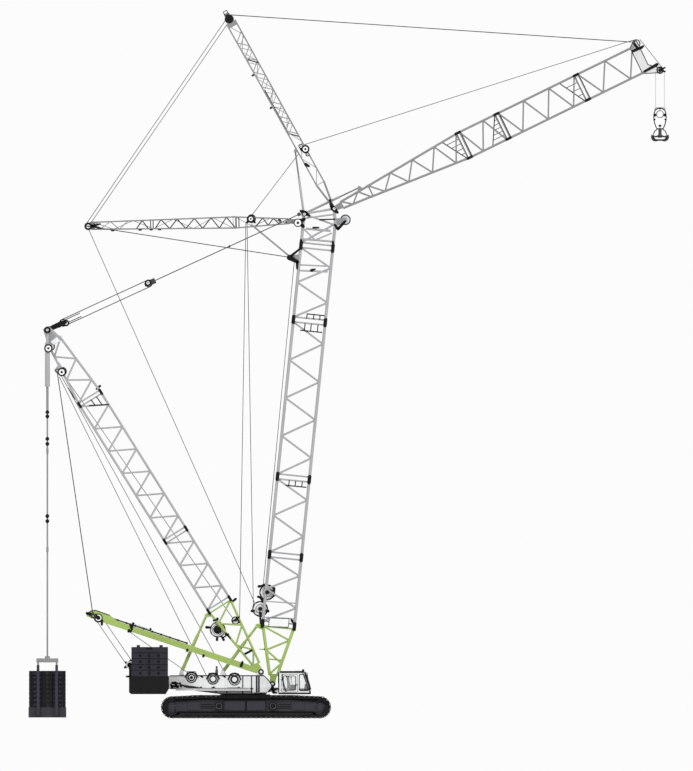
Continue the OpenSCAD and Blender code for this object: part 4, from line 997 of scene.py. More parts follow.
# Lattice arms: body, arm, its joints, half depth, half width, radius of a chord and length of the ladders
SECTIONS = (
    ("boom", BOOM, BOOM_JOINTS, 0.576, 0.55, 0.056, 0.60),
    ("jib", JIB, JIB_JOINTS, 0.495, 0.42, 0.042, 0.42),
    ("derrick", DERRICK, DERRICK_JOINTS, 0.450, 0.55, 0.042, 0.50),
)
# Ladders: their start from a joint, their distance out from the arm's face and in from its flank, and width
LADDER_START, LADDER_OUT, LADDER_IN, LADDER_WIDE = 0.24, 0.02, 0.06, 0.32


class CRANE_OT_section_joints(bpy.types.Operator):
    """Pins the lattice sections together and hangs ladders beside the joints"""

    bl_idname = "crane.section_joints"
    bl_label = "Section joints"

    def execute(self, context):
        rung = context.scene.crane_sizes.rung
        black = finish("black paint")
        for body, arm, joints, front, half, chord, reach in SECTIONS:
            piece(body + "_forks", body, black, "bare_steel", forks(arm, joints, front, half, chord))
            ladders = [ladder(arm, s, s + reach, -front - LADDER_OUT, -half + LADDER_IN, LADDER_WIDE, rung)
                       for s in np.array(joints) + LADDER_START]
            piece(body + "_ladders", body, black, "bare_steel", *ladders)
        for name, body, inner, outer, rows in LINKS:
            faces = ((-outer, -inner), (inner, outer))
            piece(name, body, black, "bare_steel", *[link(*row, *face) for face in faces for row in rows])
        return {"FINISHED"}


def winch_face(r, disc, ring, hub, out, reach):
    """End of a winch: eight sided rim plate, dished disc, ring, long hub and bolts, facing out along y."""
    k = int(np.sign(out))
    rim = [(0.0, disc - 0.004), (0.0, r), (out, r - 0.008), (out, disc)]
    dish = [(0.0, disc), (0.55 * out, disc - 0.004), (0.7 * out, 0.8 * disc), (0.45 * out, 0.6 * disc),
            (0.5 * out, ring)]
    mid = [(0.3 * out, ring - 0.02), (0.3 * out, ring + 0.006), (0.8 * out, ring), (0.8 * out, ring - 0.014)]
    cap = [(0.0, hub * 1.15), (0.6 * out, hub * 1.1), (0.7 * out, 0.9 * hub), (reach, 0.85 * hub),
           (reach + out, 0.6 * hub)]
    bolts = copies(bolt(0.05 * r, k), around((0.0, 0.0, 0.0), 0.5 * (r + disc), 8, out, np.pi / 8))
    return join(hoop(rim[::k], 8), hoop(mid[::k], 32), lathe(cap[::k], 20), bolts), lathe(dish[::k], 32)


# Winch ends: name, body, shaft, radii of rim, disc, ring and hub, the face's distance from the middle plane,
# the hub's reach from the face, and the sides
WINCH_ENDS = (
    ("boom_winch_low_end", "boom", LOW_WINCH, (0.290, 0.255, 0.165, 0.083), 0.435, 0.115, (-1, 1)),
    ("boom_winch_high_end", "boom", HIGH_WINCH, (0.290, 0.255, 0.165, 0.083), 0.435, 0.115, (-1, 1)),
    ("derrick_winch_end", "derrick", DERRICK_WINCH, (0.290, 0.260, 0.205, 0.144), 0.449, 0.092, (-1, 1)),
    ("winch_rear_end", "upperworks", REAR_WINCH, (0.205, 0.178, 0.170, 0.140), 0.94, 0.026, (-1,)),
    ("winch_middle_end", "upperworks", MIDDLE_WINCH, (0.215, 0.188, 0.170, 0.140), 0.94, 0.026, (-1,)),
    ("winch_front_end", "upperworks", FRONT_WINCH, (0.225, 0.198, 0.170, 0.140), 0.94, 0.026, (-1,)),
)
# Thickness of the plate at a winch's end
END_THICK = 0.020


class CRANE_OT_winch_ends(bpy.types.Operator):
    """Fits the rims, discs and hubs that show at the ends of the winches"""

    bl_idname = "crane.winch_ends"
    bl_label = "Winch ends"

    def execute(self, context):
        black, pale = finish("black paint"), finish("cover paint")
        for name, body, place, radii, y, reach, sides in WINCH_ENDS:
            ends, discs = zip(*[winch_face(*radii, k * END_THICK, k * reach) for k in sides])
            places = [[place + [0.0, k * y, 0.0]] for k in sides]
            piece(name, body, black, "bare_steel", *map(copies, ends, places))
            piece(name + "_disc", body, pale, "bare_steel", *map(copies, discs, places))
        cap = lathe([(-1.000, 0.070), (-0.996, 0.088), (-0.960, 0.090)], 24)
        piece("deck_winch_caps", "upperworks", pale, "bare_steel",
              copies(cap, [REAR_WINCH, MIDDLE_WINCH, FRONT_WINCH]))
        hub = lathe([(-1.012, 0.044), (-1.008, 0.060), (-0.990, 0.060)], 20)
        piece("rear_winch_hub", "upperworks", black, "bare_steel", copies(hub, [REAR_WINCH]))
        return {"FINISHED"}


def loop_tube(path, radius, sides=8):
    """Round section carried along a closed path and joined to its own start."""
    p = np.asarray(path, float)
    t = np.roll(p, -1, 0) - np.roll(p, 1, 0)
    t /= np.linalg.norm(t, axis=1, keepdims=True)
    flat = np.linalg.svd(p - p.mean(0))[2][2]
    u = np.cross(t, flat)
    a = angles(sides)
    rings = p[:, None] + radius * (np.cos(a)[:, None] * u[:, None] + np.sin(a)[:, None] * flat)
    q, loops, totals, lay = looped(rings)
    ring = rings[0] - p[0]
    if np.dot(np.cross(ring[0], ring[1]), t[0]) < 0:
        loops = loops.reshape(-1, 4)[:, ::-1].ravel()
    return q, loops, totals, lay


def seal(corners, radius, section, y=None):
    """Rounded closed frame: a tube round the corner points, given as x, z at one y or as x, y, z."""
    c = np.asarray(corners, float)
    c = c if y is None else at_y(c, y)
    c = np.concatenate([c, c[:2]])
    path = rounded(np.concatenate([(c[:1] + c[1:2]) / 2, c[1:-1], (c[-2:-1] + c[-1:]) / 2]), radius, 5)
    return loop_tube(path[:-1], section)


def louvre(long, wide, count):
    """Vent in the x z plane facing out along y: a rim and slanted slats, each half covering the next."""
    pitch = wide / count
    z = (np.arange(count) + 0.5) * pitch - wide / 2
    slat = shape([(-long / 2 + 0.01, 0), (long / 2 - 0.01, 0), (long / 2 - 0.01, 0.9 * pitch),
                  (-long / 2 + 0.01, 0.9 * pitch)], -0.004, 0.004, 0.002)
    lean = np.array([[1, 0, 0], [0, math.cos(0.5), -math.sin(0.5)], [0, math.sin(0.5), math.cos(0.5)]])
    places = np.stack([np.zeros(count), np.full(count, 0.012), z - 0.45 * pitch], -1)
    rim = seal([(-long / 2, -wide / 2), (long / 2, -wide / 2), (long / 2, wide / 2), (-long / 2, wide / 2)],
               0.03, 0.010, 0.008)
    return join(rim, copies(slat, places, lean))


def handle(x, y, z, out, long=0.12):
    """Grab handle on a wall that faces out along y: a bent bar with two feet."""
    path = rounded([(x - long / 2, y, z), (x - long / 2, y + out, z), (x + long / 2, y + out, z),
                    (x + long / 2, y, z)], 0.03, 5)
    return tube(path, 0.008, 8)


# Outer face of the deck's side
DECK_SIDE = -0.944
# Dark beads along the deck's side: rows of x, z corners
DECK_BEADS = (
    ((-2.70, 1.500), (-2.20, 1.506), (-1.95, 1.508), (0.68, 1.506), (0.84, 1.360), (0.97, 1.150)),
    ((-2.70, 1.040), (-2.27, 1.036), (-0.80, 0.852), (0.75, 0.852), (0.96, 1.110)),
    ((-1.60, 1.045), (-0.62, 1.045), (-0.60, 1.060), (-0.18, 1.060), (-0.16, 1.045), (0.33, 1.045)),
    ((0.235, 0.870), (0.235, 1.490)),
    ((-0.08, 0.870), (-0.08, 1.520)), ((-1.04, 0.885), (-1.04, 1.045)), ((-0.66, 0.860), (-0.66, 1.045)),
)
# Dark links on the deck's side, as rows of (x, z, radius) twice
DECK_LINKS = (
    (-0.615, 1.045, 0.030, -0.200, 1.045, 0.030), (-1.60, 1.030, 0.055, -1.58, 1.085, 0.030),
    (-1.170, 1.030, 0.060, -1.120, 1.085, 0.035), (-0.200, 1.035, 0.055, -0.235, 1.075, 0.030),
    (-2.60, 1.250, 0.045, -2.46, 1.230, 0.040), (-2.62, 1.120, 0.050, -2.40, 1.130, 0.035),
    (-2.50, 1.190, 0.035, -2.42, 1.080, 0.045), (-2.34, 1.240, 0.030, -2.30, 1.120, 0.040),
    (-2.66, 1.190, 0.030, -2.62, 1.060, 0.030),
    (-1.53, 1.455, 0.030, -1.62, 1.510, 0.025), (-0.72, 1.455, 0.030, -0.80, 1.520, 0.025),
)
# Dark links on the arm that carries the cab
ARM_LINKS = (
    (0.985, 1.130, 0.045, 1.020, 0.940, 0.060), (1.020, 1.010, 0.050, 1.165, 1.040, 0.030),
    (0.985, 1.060, 0.045, 0.850, 0.940, 0.030), (1.020, 0.900, 0.045, 1.150, 0.880, 0.025),
)
# Foot pins: the arm with the distance of its pin's cap from the middle plane, and the radius of both
FOOT_PINS = ((BOOM, 0.66), (DERRICK, 0.91))
FOOT_PIN = 0.105


class CRANE_OT_deck_fittings(bpy.types.Operator):
    """Dresses the deck: edge beads, winch frames, pins, exhaust, hoses, vents and walkway edges"""

    bl_idname = "crane.deck_fittings"
    bl_label = "Deck fittings"

    def execute(self, context):
        sizes = context.scene.crane_sizes
        black, steel = finish("black paint"), finish("bright steel")
        beads = [tube(at_y(row, DECK_SIDE), 0.018, 6) for row in DECK_BEADS]
        crown = at_y([(-0.24, -0.01), (-0.14, 0.21), (0.14, 0.21), (0.24, -0.01)], DECK_SIDE - 0.012)
        crowns = [tube(crown + shaft, 0.017, 8) for shaft in (REAR_WINCH, MIDDLE_WINCH, FRONT_WINCH)]
        posts = [tube([(x, y, low), (x, y, high)], 0.028, 8) for x in (0.420, 0.500)
                 for y, low, high in ((DECK_SIDE, 1.085, 1.490), (-1.204, 0.915, 1.095))]
        piece("deck_beads", "upperworks", black, "dark_paint", *beads, *crowns, *posts)
        piece("deck_links", "upperworks", black, "dark_paint",
              *[link(*row, DECK_SIDE - 0.016, DECK_SIDE + 0.006) for row in DECK_LINKS])
        piece("arm_links", "upperworks", black, "dark_paint",
              *[link(*row, -1.222, -1.198) for row in ARM_LINKS])
        r = FOOT_PIN
        cap = ((0.0, r), (0.018, r), (0.024, 0.92 * r), (0.024, 0.55 * r))
        covers = [both_ways(lathe([(y + h, q) for h, q in cap], 28), *arm.flat(0.0)) for arm, y in FOOT_PINS]
        piece("foot_pin_caps", "upperworks", black, "dark_paint", *covers)
        eye = ((0.02, 0.5 * r), (0.036, 0.46 * r), (0.04, 0.3 * r))
        eyes = [both_ways(lathe([(y + h, q) for h, q in eye], 24), *arm.flat(0.0)) for arm, y in FOOT_PINS]
        piece("foot_pin_eyes", "upperworks", finish("cover paint"), "bare_steel", *eyes)
        pipe = tube([(-1.02, -0.86, 1.45), (-1.02, -0.86, 1.64), (-1.02, -0.86, 1.85)], 0.034, 16)
        shield = copies(hoop([(0, 0.040), (0, 0.050), (0.22, 0.050), (0.22, 0.040)], 20, "z"),
                        [(-1.02, -0.86, 1.50)])
        piece("exhaust_pipe", "upperworks", finish("dark steel"), "dark_paint", pipe, shield, smooth=True)
        vents = [copies(louvre(0.62, 0.30, 9), [(x, 1.522, 1.30) for x in (-2.0, -1.2, -0.4)]),
                 handle(-1.62, 1.52, 1.42, 0.04), handle(-0.80, 1.52, 1.42, 0.04)]
        piece("engine_vents", "upperworks", black, "dark_paint", *vents)
        rows = np.arange(-2.44, 0.16, 0.13)
        treads = copies(block((0.06, 0.34, 0.006), 0.002), [(x, -1.15, 1.008) for x in rows])
        edge = copies(block((2.68, 0.012, 0.05), 0.004), [(-1.15, -1.356, 1.020)])
        piece("walkway_treads", "upperworks", finish("walkway plate"), "bare_steel", treads, edge)
        hoses = [tube(rounded([(-2.60 + d, -0.90 - 0.5 * d, 1.30), (-2.45 + d, -0.96, 1.22),
                               (-2.20 + d, -0.965, 1.16 - d), (-1.75, -0.96, 1.10 - d),
                               (-1.62, -0.95, 1.07 - d)], 0.1, 8), 0.014, 8) for d in (0.0, 0.035, 0.07)]
        piece("deck_hoses", "upperworks", finish("hose rubber"), "dark_paint", *hoses, smooth=True)
        ring = around((0.0, 0.0, 0.0), 0.84, 48, 0.0)[:, [0, 2, 1]]
        studs = copies(bolt(1.1 * sizes.bolt, 1.0, "z"), ring + [0.0, 0.0, 0.70])
        piece("slew_ring_bolts", "undercarriage", steel, "bare_steel", studs)
        return {"FINISHED"}


# Outer faces of the cab's sides, then its windows and the door's edge as rows of x, z
CAB_RIGHT, CAB_LEFT = -1.580, -0.760
DOOR_WINDOW = ((1.379, 0.985), (1.824, 0.985), (1.824, 1.494), (1.379, 1.494))
FRONT_WINDOW = ((1.954, 0.970), (2.289, 0.970), (2.119, 1.554), (1.954, 1.554))
INNER_WINDOW = ((1.349, 1.040), (2.274, 1.040), (2.119, 1.554), (1.349, 1.554))
WINDSCREEN = ((2.346, 1.02), (2.186, 1.584))
DOOR_EDGE = ((1.318, 0.919), (1.885, 0.919), (1.885, 1.555), (1.318, 1.555))
# Trims on both sides of the cab: rows of x, z with the radius
CAB_TRIMS = (
    (((1.250, 1.640), (2.130, 1.640)), 0.034),
    (((2.150, 1.630), (2.335, 0.990), (2.350, 0.850)), 0.026),
    (((2.080, 1.594), (2.214, 1.206), (2.290, 1.000)), 0.014),
    (((1.205, 0.866), (2.340, 0.866)), 0.030),
    (((1.930, 1.000), (2.310, 1.000)), 0.014),
    (((1.212, 1.640), (1.212, 0.880)), 0.018),
)


def pane_of(outline, y):
    """Flat pane 8 mm thick that fills an outline given as x, z."""
    return shape(np.asarray(outline, float), y - 0.004, y + 0.004, 0.001)


def front_pane(low, high, y0, y1, thick):
    """Pane across the machine from (x, z) low to high, between y0 and y1."""
    (x0, z0), (x1, z1) = low, high
    run = math.hypot(x1 - x0, z1 - z0)
    out = np.array([(z1 - z0) / run, (x0 - x1) / run]) * thick / 2
    low, high = np.array(low), np.array(high)
    return shape([low - out, low + out, high + out, high - out], y0, y1, 0.001)


def cushion(half, rows=18, cols=28, power=0.4):
    """Padded block: an ellipsoid with its cosines and sines raised to a power, so that its sides are full."""
    v = np.linspace(-0.499 * np.pi, 0.499 * np.pi, rows)[:, None]
    u = angles(cols)[None, :]
    cv, sv, cu, su = [np.sign(w) * np.abs(w) ** power for w in (np.cos(v), np.sin(v), np.cos(u), np.sin(u))]
    return closed(np.stack(np.broadcast_arrays(cv * cu, cv * su, sv), -1) * np.asarray(half, float))


class CRANE_OT_cab_fittings(bpy.types.Operator):
    """Glazes the cab and fits its seals, trims, wiper, mirror, lamps, console, levers and handles"""

    bl_idname = "crane.cab_fittings"
    bl_label = "Cab fittings"

    def execute(self, context):
        black, glass = finish("black paint"), finish("window glass")
        handle_y, seal_y = CAB_RIGHT - 0.030, CAB_RIGHT - 0.002
        piece("door_glass", "door", glass, "bare_steel", pane_of(DOOR_WINDOW, CAB_RIGHT + 0.012))
        grab = tube(rounded([(1.345, CAB_RIGHT, 1.550), (1.340, handle_y, 1.430), (1.398, handle_y, 1.190),
                             (1.480, CAB_RIGHT, 0.925)], 0.03), 0.020, 10)
        latch = copies(block((0.10, 0.02, 0.03), 0.006), [(1.850, CAB_RIGHT - 0.012, 1.18)])
        piece("door_trim", "door", black, "dark_paint", seal(DOOR_WINDOW, 0.05, 0.014, seal_y), grab, latch,
              seal(DOOR_EDGE, 0.04, 0.006, seal_y))
        low, high = WINDSCREEN
        screen = [pane_of(FRONT_WINDOW, CAB_RIGHT + 0.012), pane_of(INNER_WINDOW, CAB_LEFT - 0.012),
                  front_pane(low, high, -1.52, -0.82, 0.008),
                  front_pane((1.211, 1.24), (1.211, 1.56), -1.49, -0.85, 0.008),
                  front_pane((1.809, 1.655), (2.089, 1.655), -1.46, -0.88, 0.008)]
        piece("cab_glass", "upperworks", glass, "bare_steel", *screen)
        ends = [(x, y, z) for (x, z), y in zip((low, low, high, high), (-1.52, -0.82, -0.82, -1.52))]
        rear = [(1.197, y, z) for y, z in ((-1.49, 1.24), (-0.85, 1.24), (-0.85, 1.56), (-1.49, 1.56))]
        roof = [(x, y, 1.667) for x, y in ((1.809, -1.46), (2.089, -1.46), (2.089, -0.88), (1.809, -0.88))]
        seals = [seal(FRONT_WINDOW, 0.04, 0.014, seal_y), seal(INNER_WINDOW, 0.05, 0.014, CAB_LEFT + 0.002),
                 seal(np.array(ends) + [0.014, 0.0, 0.003], 0.05, 0.014),
                 seal(rear, 0.05, 0.012), seal(roof, 0.05, 0.012)]
        piece("cab_seals", "upperworks", black, "dark_paint", *seals)
        trims = [tube(at_y(row, y), r, 8)
                 for y in (CAB_RIGHT - 0.004, CAB_LEFT + 0.004) for row, r in CAB_TRIMS]
        piece("cab_trims", "upperworks", black, "dark_paint", *trims)
        across = [copies(block((0.03, 0.80, 0.03), 0.008), [(2.166, -1.17, 1.652), (2.362, -1.17, 0.872)])]
        wiper = [tube([(2.372, -1.20, 1.035), (2.330, -1.00, 1.210)], 0.007, 8),
                 tube([(2.340, -1.02, 1.170), (2.262, -0.98, 1.450)], 0.006, 8),
                 copies(lathe([(-0.02, 0.018), (0.02, 0.022)], 14, "x"), [(2.362, -1.20, 1.03)])]
        stalk = tube(rounded([(2.16, CAB_RIGHT, 1.60), (2.24, CAB_RIGHT - 0.10, 1.63),
                              (2.25, CAB_RIGHT - 0.12, 1.54)], 0.05), 0.008, 8)
        mirror = copies(block((0.03, 0.10, 0.20), 0.012), [(2.250, CAB_RIGHT - 0.12, 1.46)])
        piece("cab_front_gear", "upperworks", black, "dark_paint", *across, *wiper, stalk, mirror)
        console = shape([(1.655, 0.885), (1.935, 0.885), (1.945, 1.10), (1.925, 1.175), (1.70, 1.175),
                         (1.655, 1.13)], -1.49, -1.34, 0.02)
        post = shape([(2.10, 0.88), (2.27, 0.88), (2.27, 1.06), (2.22, 1.22), (2.15, 1.20), (2.13, 1.06)],
                     -1.40, -1.10, 0.015)
        levers = [tube(rounded([(1.70, y, 1.14), (1.685, y, 1.28), (1.662, y, 1.40)], 0.05),
                       [0.010] * 7 + [0.014], 8) for y in (-1.44, -1.38)]
        knob = [(-0.03, 0.010), (-0.015, 0.024), (0.012, 0.028), (0.032, 0.020), (0.04, 0.006)]
        knobs = copies(lathe(knob, 16, "z"), [(1.660, -1.44, 1.42), (1.660, -1.38, 1.42)])
        piece("cab_console", "upperworks", black, "dark_paint", console, post, *levers, knobs)
        lean = np.array([[math.cos(0.2), 0, -math.sin(0.2)], [0, 1, 0], [math.sin(0.2), 0, math.cos(0.2)]])
        piece("seat_cover", "upperworks", finish("seat cloth"), "seat_fabric",
              copies(cushion((0.050, 0.140, 0.215)), [(1.560, -1.17, 1.300)], lean),
              copies(cushion((0.180, 0.150, 0.045)), [(1.705, -1.17, 1.125)]),
              copies(cushion((0.035, 0.090, 0.065)), [(1.500, -1.17, 1.530)], lean), smooth=True)
        lamps = [(2.10, CAB_RIGHT + 0.10, 1.690), (2.10, CAB_LEFT - 0.10, 1.690)]
        shells = copies(lathe([(-0.05, 0.02), (-0.03, 0.045), (0.03, 0.055), (0.034, 0.050)], 20, "x"), lamps)
        piece("work_lamps", "upperworks", black, "dark_paint", shells,
              copies(block((0.03, 0.03, 0.05), 0.006), np.array(lamps) - [0.01, 0.0, 0.03]))
        piece("work_lamp_lenses", "upperworks", finish("lamp lens"), "bare_steel",
              copies(lathe([(0.030, 0.049), (0.040, 0.040), (0.043, 0.01)], 20, "x"), lamps))
        return {"FINISHED"}


# Plates that hold the sheaves at the counterweight, as rows of (x, z, radius) twice
WEIGHT_LINKS = (
    (-4.116, 1.890, 0.060, -3.960, 1.640, 0.085), (-4.150, 1.890, 0.090, -4.300, 1.985, 0.036),
    (-4.150, 1.890, 0.090, -4.330, 1.800, 0.036), (-4.150, 1.890, 0.090, -4.120, 2.040, 0.050),
    (-4.150, 1.890, 0.090, -4.130, 1.770, 0.050),
)
# Heights of the joints between the counterweight's slabs, and profile of the knobs on them
WEIGHT_LEVELS = (1.703, 1.912, 2.120, 2.329)
WEIGHT_KNOB = ((0.0, 0.048), (0.012, 0.048), (0.014, 0.030), (0.004, 0.026), (0.004, 0.012), (0.018, 0.010))
# Middle of the hanging ballast
BALLAST_X = -7.115


class CRANE_OT_weight_fittings(bpy.types.Operator):
    """Dresses the counterweights and the hanging ballast: joint lines, lugs, rings, tie bars and studs"""

    bl_idname = "crane.weight_fittings"
    bl_label = "Weight fittings"

    def execute(self, context):
        black, steel = finish("black paint"), finish("dark steel")
        bolt_r = context.scene.crane_sizes.bolt
        levels = np.array(WEIGHT_LEVELS)
        seams, lugs, rings = [], [], []
        for side in (-1, 1):
            for y in (side * 2.252, side * 1.048):
                rear, front = ([(x, y, z) for z in levels] for x in (-4.088, -2.774))
                seams.append(bars(rear, front, 0.010, 6))
            y = side * 2.256
            low, high = outward(y, 0.022)
            for z in levels - 0.104:
                lugs.append(link(-3.450, z - 0.03, 0.034, -3.450, z + 0.045, 0.026, low, high))
            lugs.append(link(-3.530, 2.500, 0.030, -3.370, 2.500, 0.030, low, high))
            lugs += [link(x, 0.93, 0.040, x, 1.00, 0.040, low, high) for x in (-3.768, -3.450, -3.118)]
            lugs.append(link(-4.170, 1.476, 0.040, -4.260, 1.476, 0.034, low, high))
            x, z = np.meshgrid((-3.768, -3.118), levels - 0.104)
            knob = lathe(facing(WEIGHT_KNOB, side), 20)
            rings.append(copies(knob, np.stack([x, np.full(x.shape, y - side * 0.002), z], -1)))
        piece("weight_seams", "upperworks", black, "weights", *seams)
        piece("weight_lugs", "upperworks", black, "weights", *lugs)
        piece("weight_rings", "upperworks", black, "weights", *rings)
        brackets = [link(*row, y - 0.012, y + 0.012)
                    for y in (-0.90, -0.70, 0.70, 0.90) for row in WEIGHT_LINKS]
        rim = hoop(spindle([(0.006, 0.092), (0.006, 0.137)]), 28)
        piece("weight_sheave_rims", "upperworks", finish("cover paint"), "dark_paint",
              copies(rim, pair(-4.150, 0.92, 1.890)))
        piece("weight_sheave_cheeks", "upperworks", black, "dark_paint", *brackets)

        x, z, half = BALLAST_X, np.linspace(0.367, 1.681, 9)[1:-1], 0.662
        parts = [bars([(x - half, y, h) for h in z], [(x + half, y, h) for h in z], 0.010, 6)
                 for y in (-1.302, 1.302)]
        parts += [bars([(x + k, -1.3, h) for h in z], [(x + k, 1.3, h) for h in z], 0.010, 6)
                  for k in (-half, half)]
        piece("ballast_seams", "ballast_lower", black, "weights", *parts)
        ties = [link(x + k, 0.42, 0.045, x + k, 1.62, 0.045, *outward(y, 0.02))
                for y in (-1.372, 1.372) for k in (-0.60, -0.12, 0.12, 0.60)]
        piece("ballast_ties", "ballast_lower", black, "weights", *ties)
        studs = [copies(bolt(1.4 * bolt_r, np.sign(y)),
                        [(x + k, y, h) for k in (-0.45, -0.30, 0.30, 0.45) for h in z - 0.08])
                 for y in (-1.345, 1.345)]
        piece("ballast_studs", "ballast_lower", steel, "bare_steel", *studs)
        return {"FINISHED"}


# Middle of each track across the machine, and profile of the rollers' caps
TRACK_Y = 1.9
ROLLER_CAP = ((0.0, 0.034), (0.012, 0.034), (0.016, 0.026), (0.010, 0.016), (0.022, 0.012))
# Track: its middle in x, the end wheels' distance from it, their radius, the top run's height and half length
TRACK_X, TRACK_C, TRACK_R, TRACK_TOP, TRACK_FLAT = 0.036, 2.662, 0.368, 0.783, 1.606
# Lines along the track frame, its panels, the beads round them and its discs with their radius, from TRACK_X
TRACK_RAILS = (
    ((0.12 - TRACK_C, 0.610), (-TRACK_FLAT, 0.655), (TRACK_FLAT, 0.655), (TRACK_C - 0.12, 0.610)),
    ((0.20 - TRACK_C, 0.205), (TRACK_C - 0.20, 0.205)),
)
TRACK_PANELS = (
    ((-0.78, 0.250), (-0.03, 0.250), (-0.03, 0.610), (-0.78, 0.610)),
    ((0.03, 0.250), (0.70, 0.250), (0.70, 0.610), (0.03, 0.610)),
    ((1.66, 0.260), (2.10, 0.260), (2.10, 0.560), (1.66, 0.580)),
    ((-2.10, 0.260), (-1.66, 0.260), (-1.66, 0.580), (-2.10, 0.560)),
)
PANEL_BEADS = (
    ((-0.79, 0.245), (-0.02, 0.245), (-0.02, 0.615), (-0.79, 0.615)),
    ((0.02, 0.245), (0.71, 0.245), (0.71, 0.615), (0.02, 0.615)),
)
TRACK_DISCS = (
    (-0.972, 0.414, 0.160), (0.972, 0.414, 0.160), (-TRACK_C, TRACK_R, 0.215), (TRACK_C, TRACK_R, 0.215),
)


def track_line(inset):
    """Points round the track's outline, drawn in by the inset."""
    r = TRACK_R - inset
    a = np.linspace(-0.5 * np.pi, 0.5 * np.pi, 25)
    front = np.stack([TRACK_C + r * np.cos(a), TRACK_R + r * np.sin(a)], -1)
    top = np.array([(TRACK_FLAT, TRACK_TOP - inset), (-TRACK_FLAT, TRACK_TOP - inset)])
    rear = front[::-1] * [-1, 1]
    p = np.concatenate([front, top, rear, front[:1]])
    p[:, 0] += TRACK_X
    return p


def shoes(y, count=74):
    """Track shoes: ribbed pads one pitch apart round the outline, each turned to face out."""
    p = track_line(0.0)
    run = np.concatenate([[0], np.cumsum(np.linalg.norm(np.diff(p, axis=0), axis=1))])
    at = (np.arange(count) + 0.5) * run[-1] / count
    back, ahead = at - 0.03, at + 0.03
    x, z = np.interp(at, run, p[:, 0]), np.interp(at, run, p[:, 1])
    dx = np.interp(ahead, run, p[:, 0]) - np.interp(back, run, p[:, 0])
    dz = np.interp(ahead, run, p[:, 1]) - np.interp(back, run, p[:, 1])
    n = np.hypot(dx, dz)
    dx, dz = dx / n, dz / n
    turns = np.zeros((count, 3, 3))
    turns[:, 0, 0], turns[:, 2, 0] = dx, dz
    turns[:, 1, 1] = 1.0
    turns[:, 0, 2], turns[:, 2, 2] = -dz, dx
    w = 0.5 * run[-1] / count
    half = ((0.985 * w, 0.000), (0.985 * w, 0.018), (0.55 * w, 0.020), (0.45 * w, 0.013))
    section = spindle(half) + [(0.90 * w, -0.016), (-0.90 * w, -0.016)]
    pad = shape([(-u, -v) for u, v in section], -0.366, 0.366, 0.006)
    studs = copies(bolt(0.014, -1.0, "z"),
                   [(u, v, 0.016) for u in (-0.2 * w, 0.2 * w) for v in (-0.12, 0.12)])
    places = np.stack([x, np.full(count, y), z], -1)
    return copies(join(pad, studs), places - 0.012 * turns[:, :, 2], turns)


class CRANE_OT_track_gear(bpy.types.Operator):
    """Fits the track shoes, carrier rails, wheel discs, frame panels and steps"""

    bl_idname = "crane.track_gear"
    bl_label = "Track gear"

    def execute(self, context):
        sizes = context.scene.crane_sizes
        black, plate = finish("black paint"), finish("frame paint")
        shift = np.array([TRACK_X, 0.0, 0.0])
        for name, k in (("left", 1), ("right", -1)):
            y = k * TRACK_Y
            piece("shoes_" + name, "undercarriage", finish("track steel"), "track_steel", shoes(y))
            rail = [tube(at_y(row, y + k * 0.20) + shift, 0.030, 8) for row in TRACK_RAILS]
            boxes = [shape(np.array(row) + [TRACK_X, 0.0], *outward(y + k * 0.205, 0.020), 0.006)
                     for row in TRACK_PANELS]
            piece("track_boxes_" + name, "undercarriage", plate, "dark_paint", *boxes)
            slots = [bars([(TRACK_X + x, y + k * 0.206, z) for z in (0.34, 0.40, 0.47)],
                          [(TRACK_X + x + 0.42, y + k * 0.206, z) for z in (0.34, 0.40, 0.47)], 0.014, 6)
                     for x in (-1.62, 1.20)]
            edges = [seal(at_y(row, y + k * 0.222) + shift, 0.03, 0.012) for row in PANEL_BEADS]
            piece("track_rails_" + name, "undercarriage", black, "dark_paint", *rail, *slots, *edges)
            discs, studs = [], []
            for x, z, r in TRACK_DISCS:
                cap = [(0.0, r), (0.020, r), (0.026, 0.92 * r), (0.014, 0.80 * r), (0.014, 0.46 * r),
                       (0.050, 0.40 * r), (0.056, 0.28 * r), (0.040, 0.10 * r)]
                face = y + k * (0.262 if r < 0.2 else 0.152)
                discs.append(copies(lathe(facing(cap, k), 32), [(TRACK_X + x, face, z)]))
                ring = around((TRACK_X + x, 0.0, z), 0.63 * r, 12, face + k * 0.014)
                studs.append(copies(bolt(0.7 * sizes.bolt, k), ring))
            piece("wheel_discs_" + name, "undercarriage", black, "dark_paint", *discs[:2])
            piece("end_discs_" + name, "undercarriage", plate, "dark_paint", *discs[2:])
            piece("track_web_" + name, "undercarriage", finish("track steel"), "track_steel",
                  shape(track_line(0.012)[:-1], y - 0.03, y + 0.03, 0.004))
            rollers = [(TRACK_X + x, y + k * 0.165, 0.142) for x in np.arange(-2.34, 2.35, 0.195)]
            piece("roller_caps_" + name, "undercarriage", plate, "dark_paint",
                  copies(lathe(facing(ROLLER_CAP, k), 14), rollers))
            piece("wheel_studs_" + name, "undercarriage", finish("bright steel"), "bare_steel", *studs)
            low, high = sorted((y - k * 0.30, y + k * 0.33))
            steps = [[(x0, 0.792), (x1, 0.792), (x1 - 0.02, 0.812), (x0 + 0.02, 0.812)]
                     for x0, x1 in ((-1.98, -1.48), (1.66, 1.95))]
            piece("track_steps_" + name, "undercarriage", finish("walkway plate"), "dark_paint",
                  *[shape(step, low, high, 0.004) for step in steps])
        return {"FINISHED"}


def stowed_bars(arm, low, high, n, y, count):
    """Pendant bars laid end to end along an arm: round bars with a thicker pinned eye where two meet."""
    s = np.linspace(low, high, count + 1)
    eye = stub(0.034, 0.004, 0.040, 0.024, 16)
    return join(bars(arm.at(s[:-1], n, y), arm.at(s[1:], n, y), 0.024, 10), copies(eye, arm.at(s, n, y)))


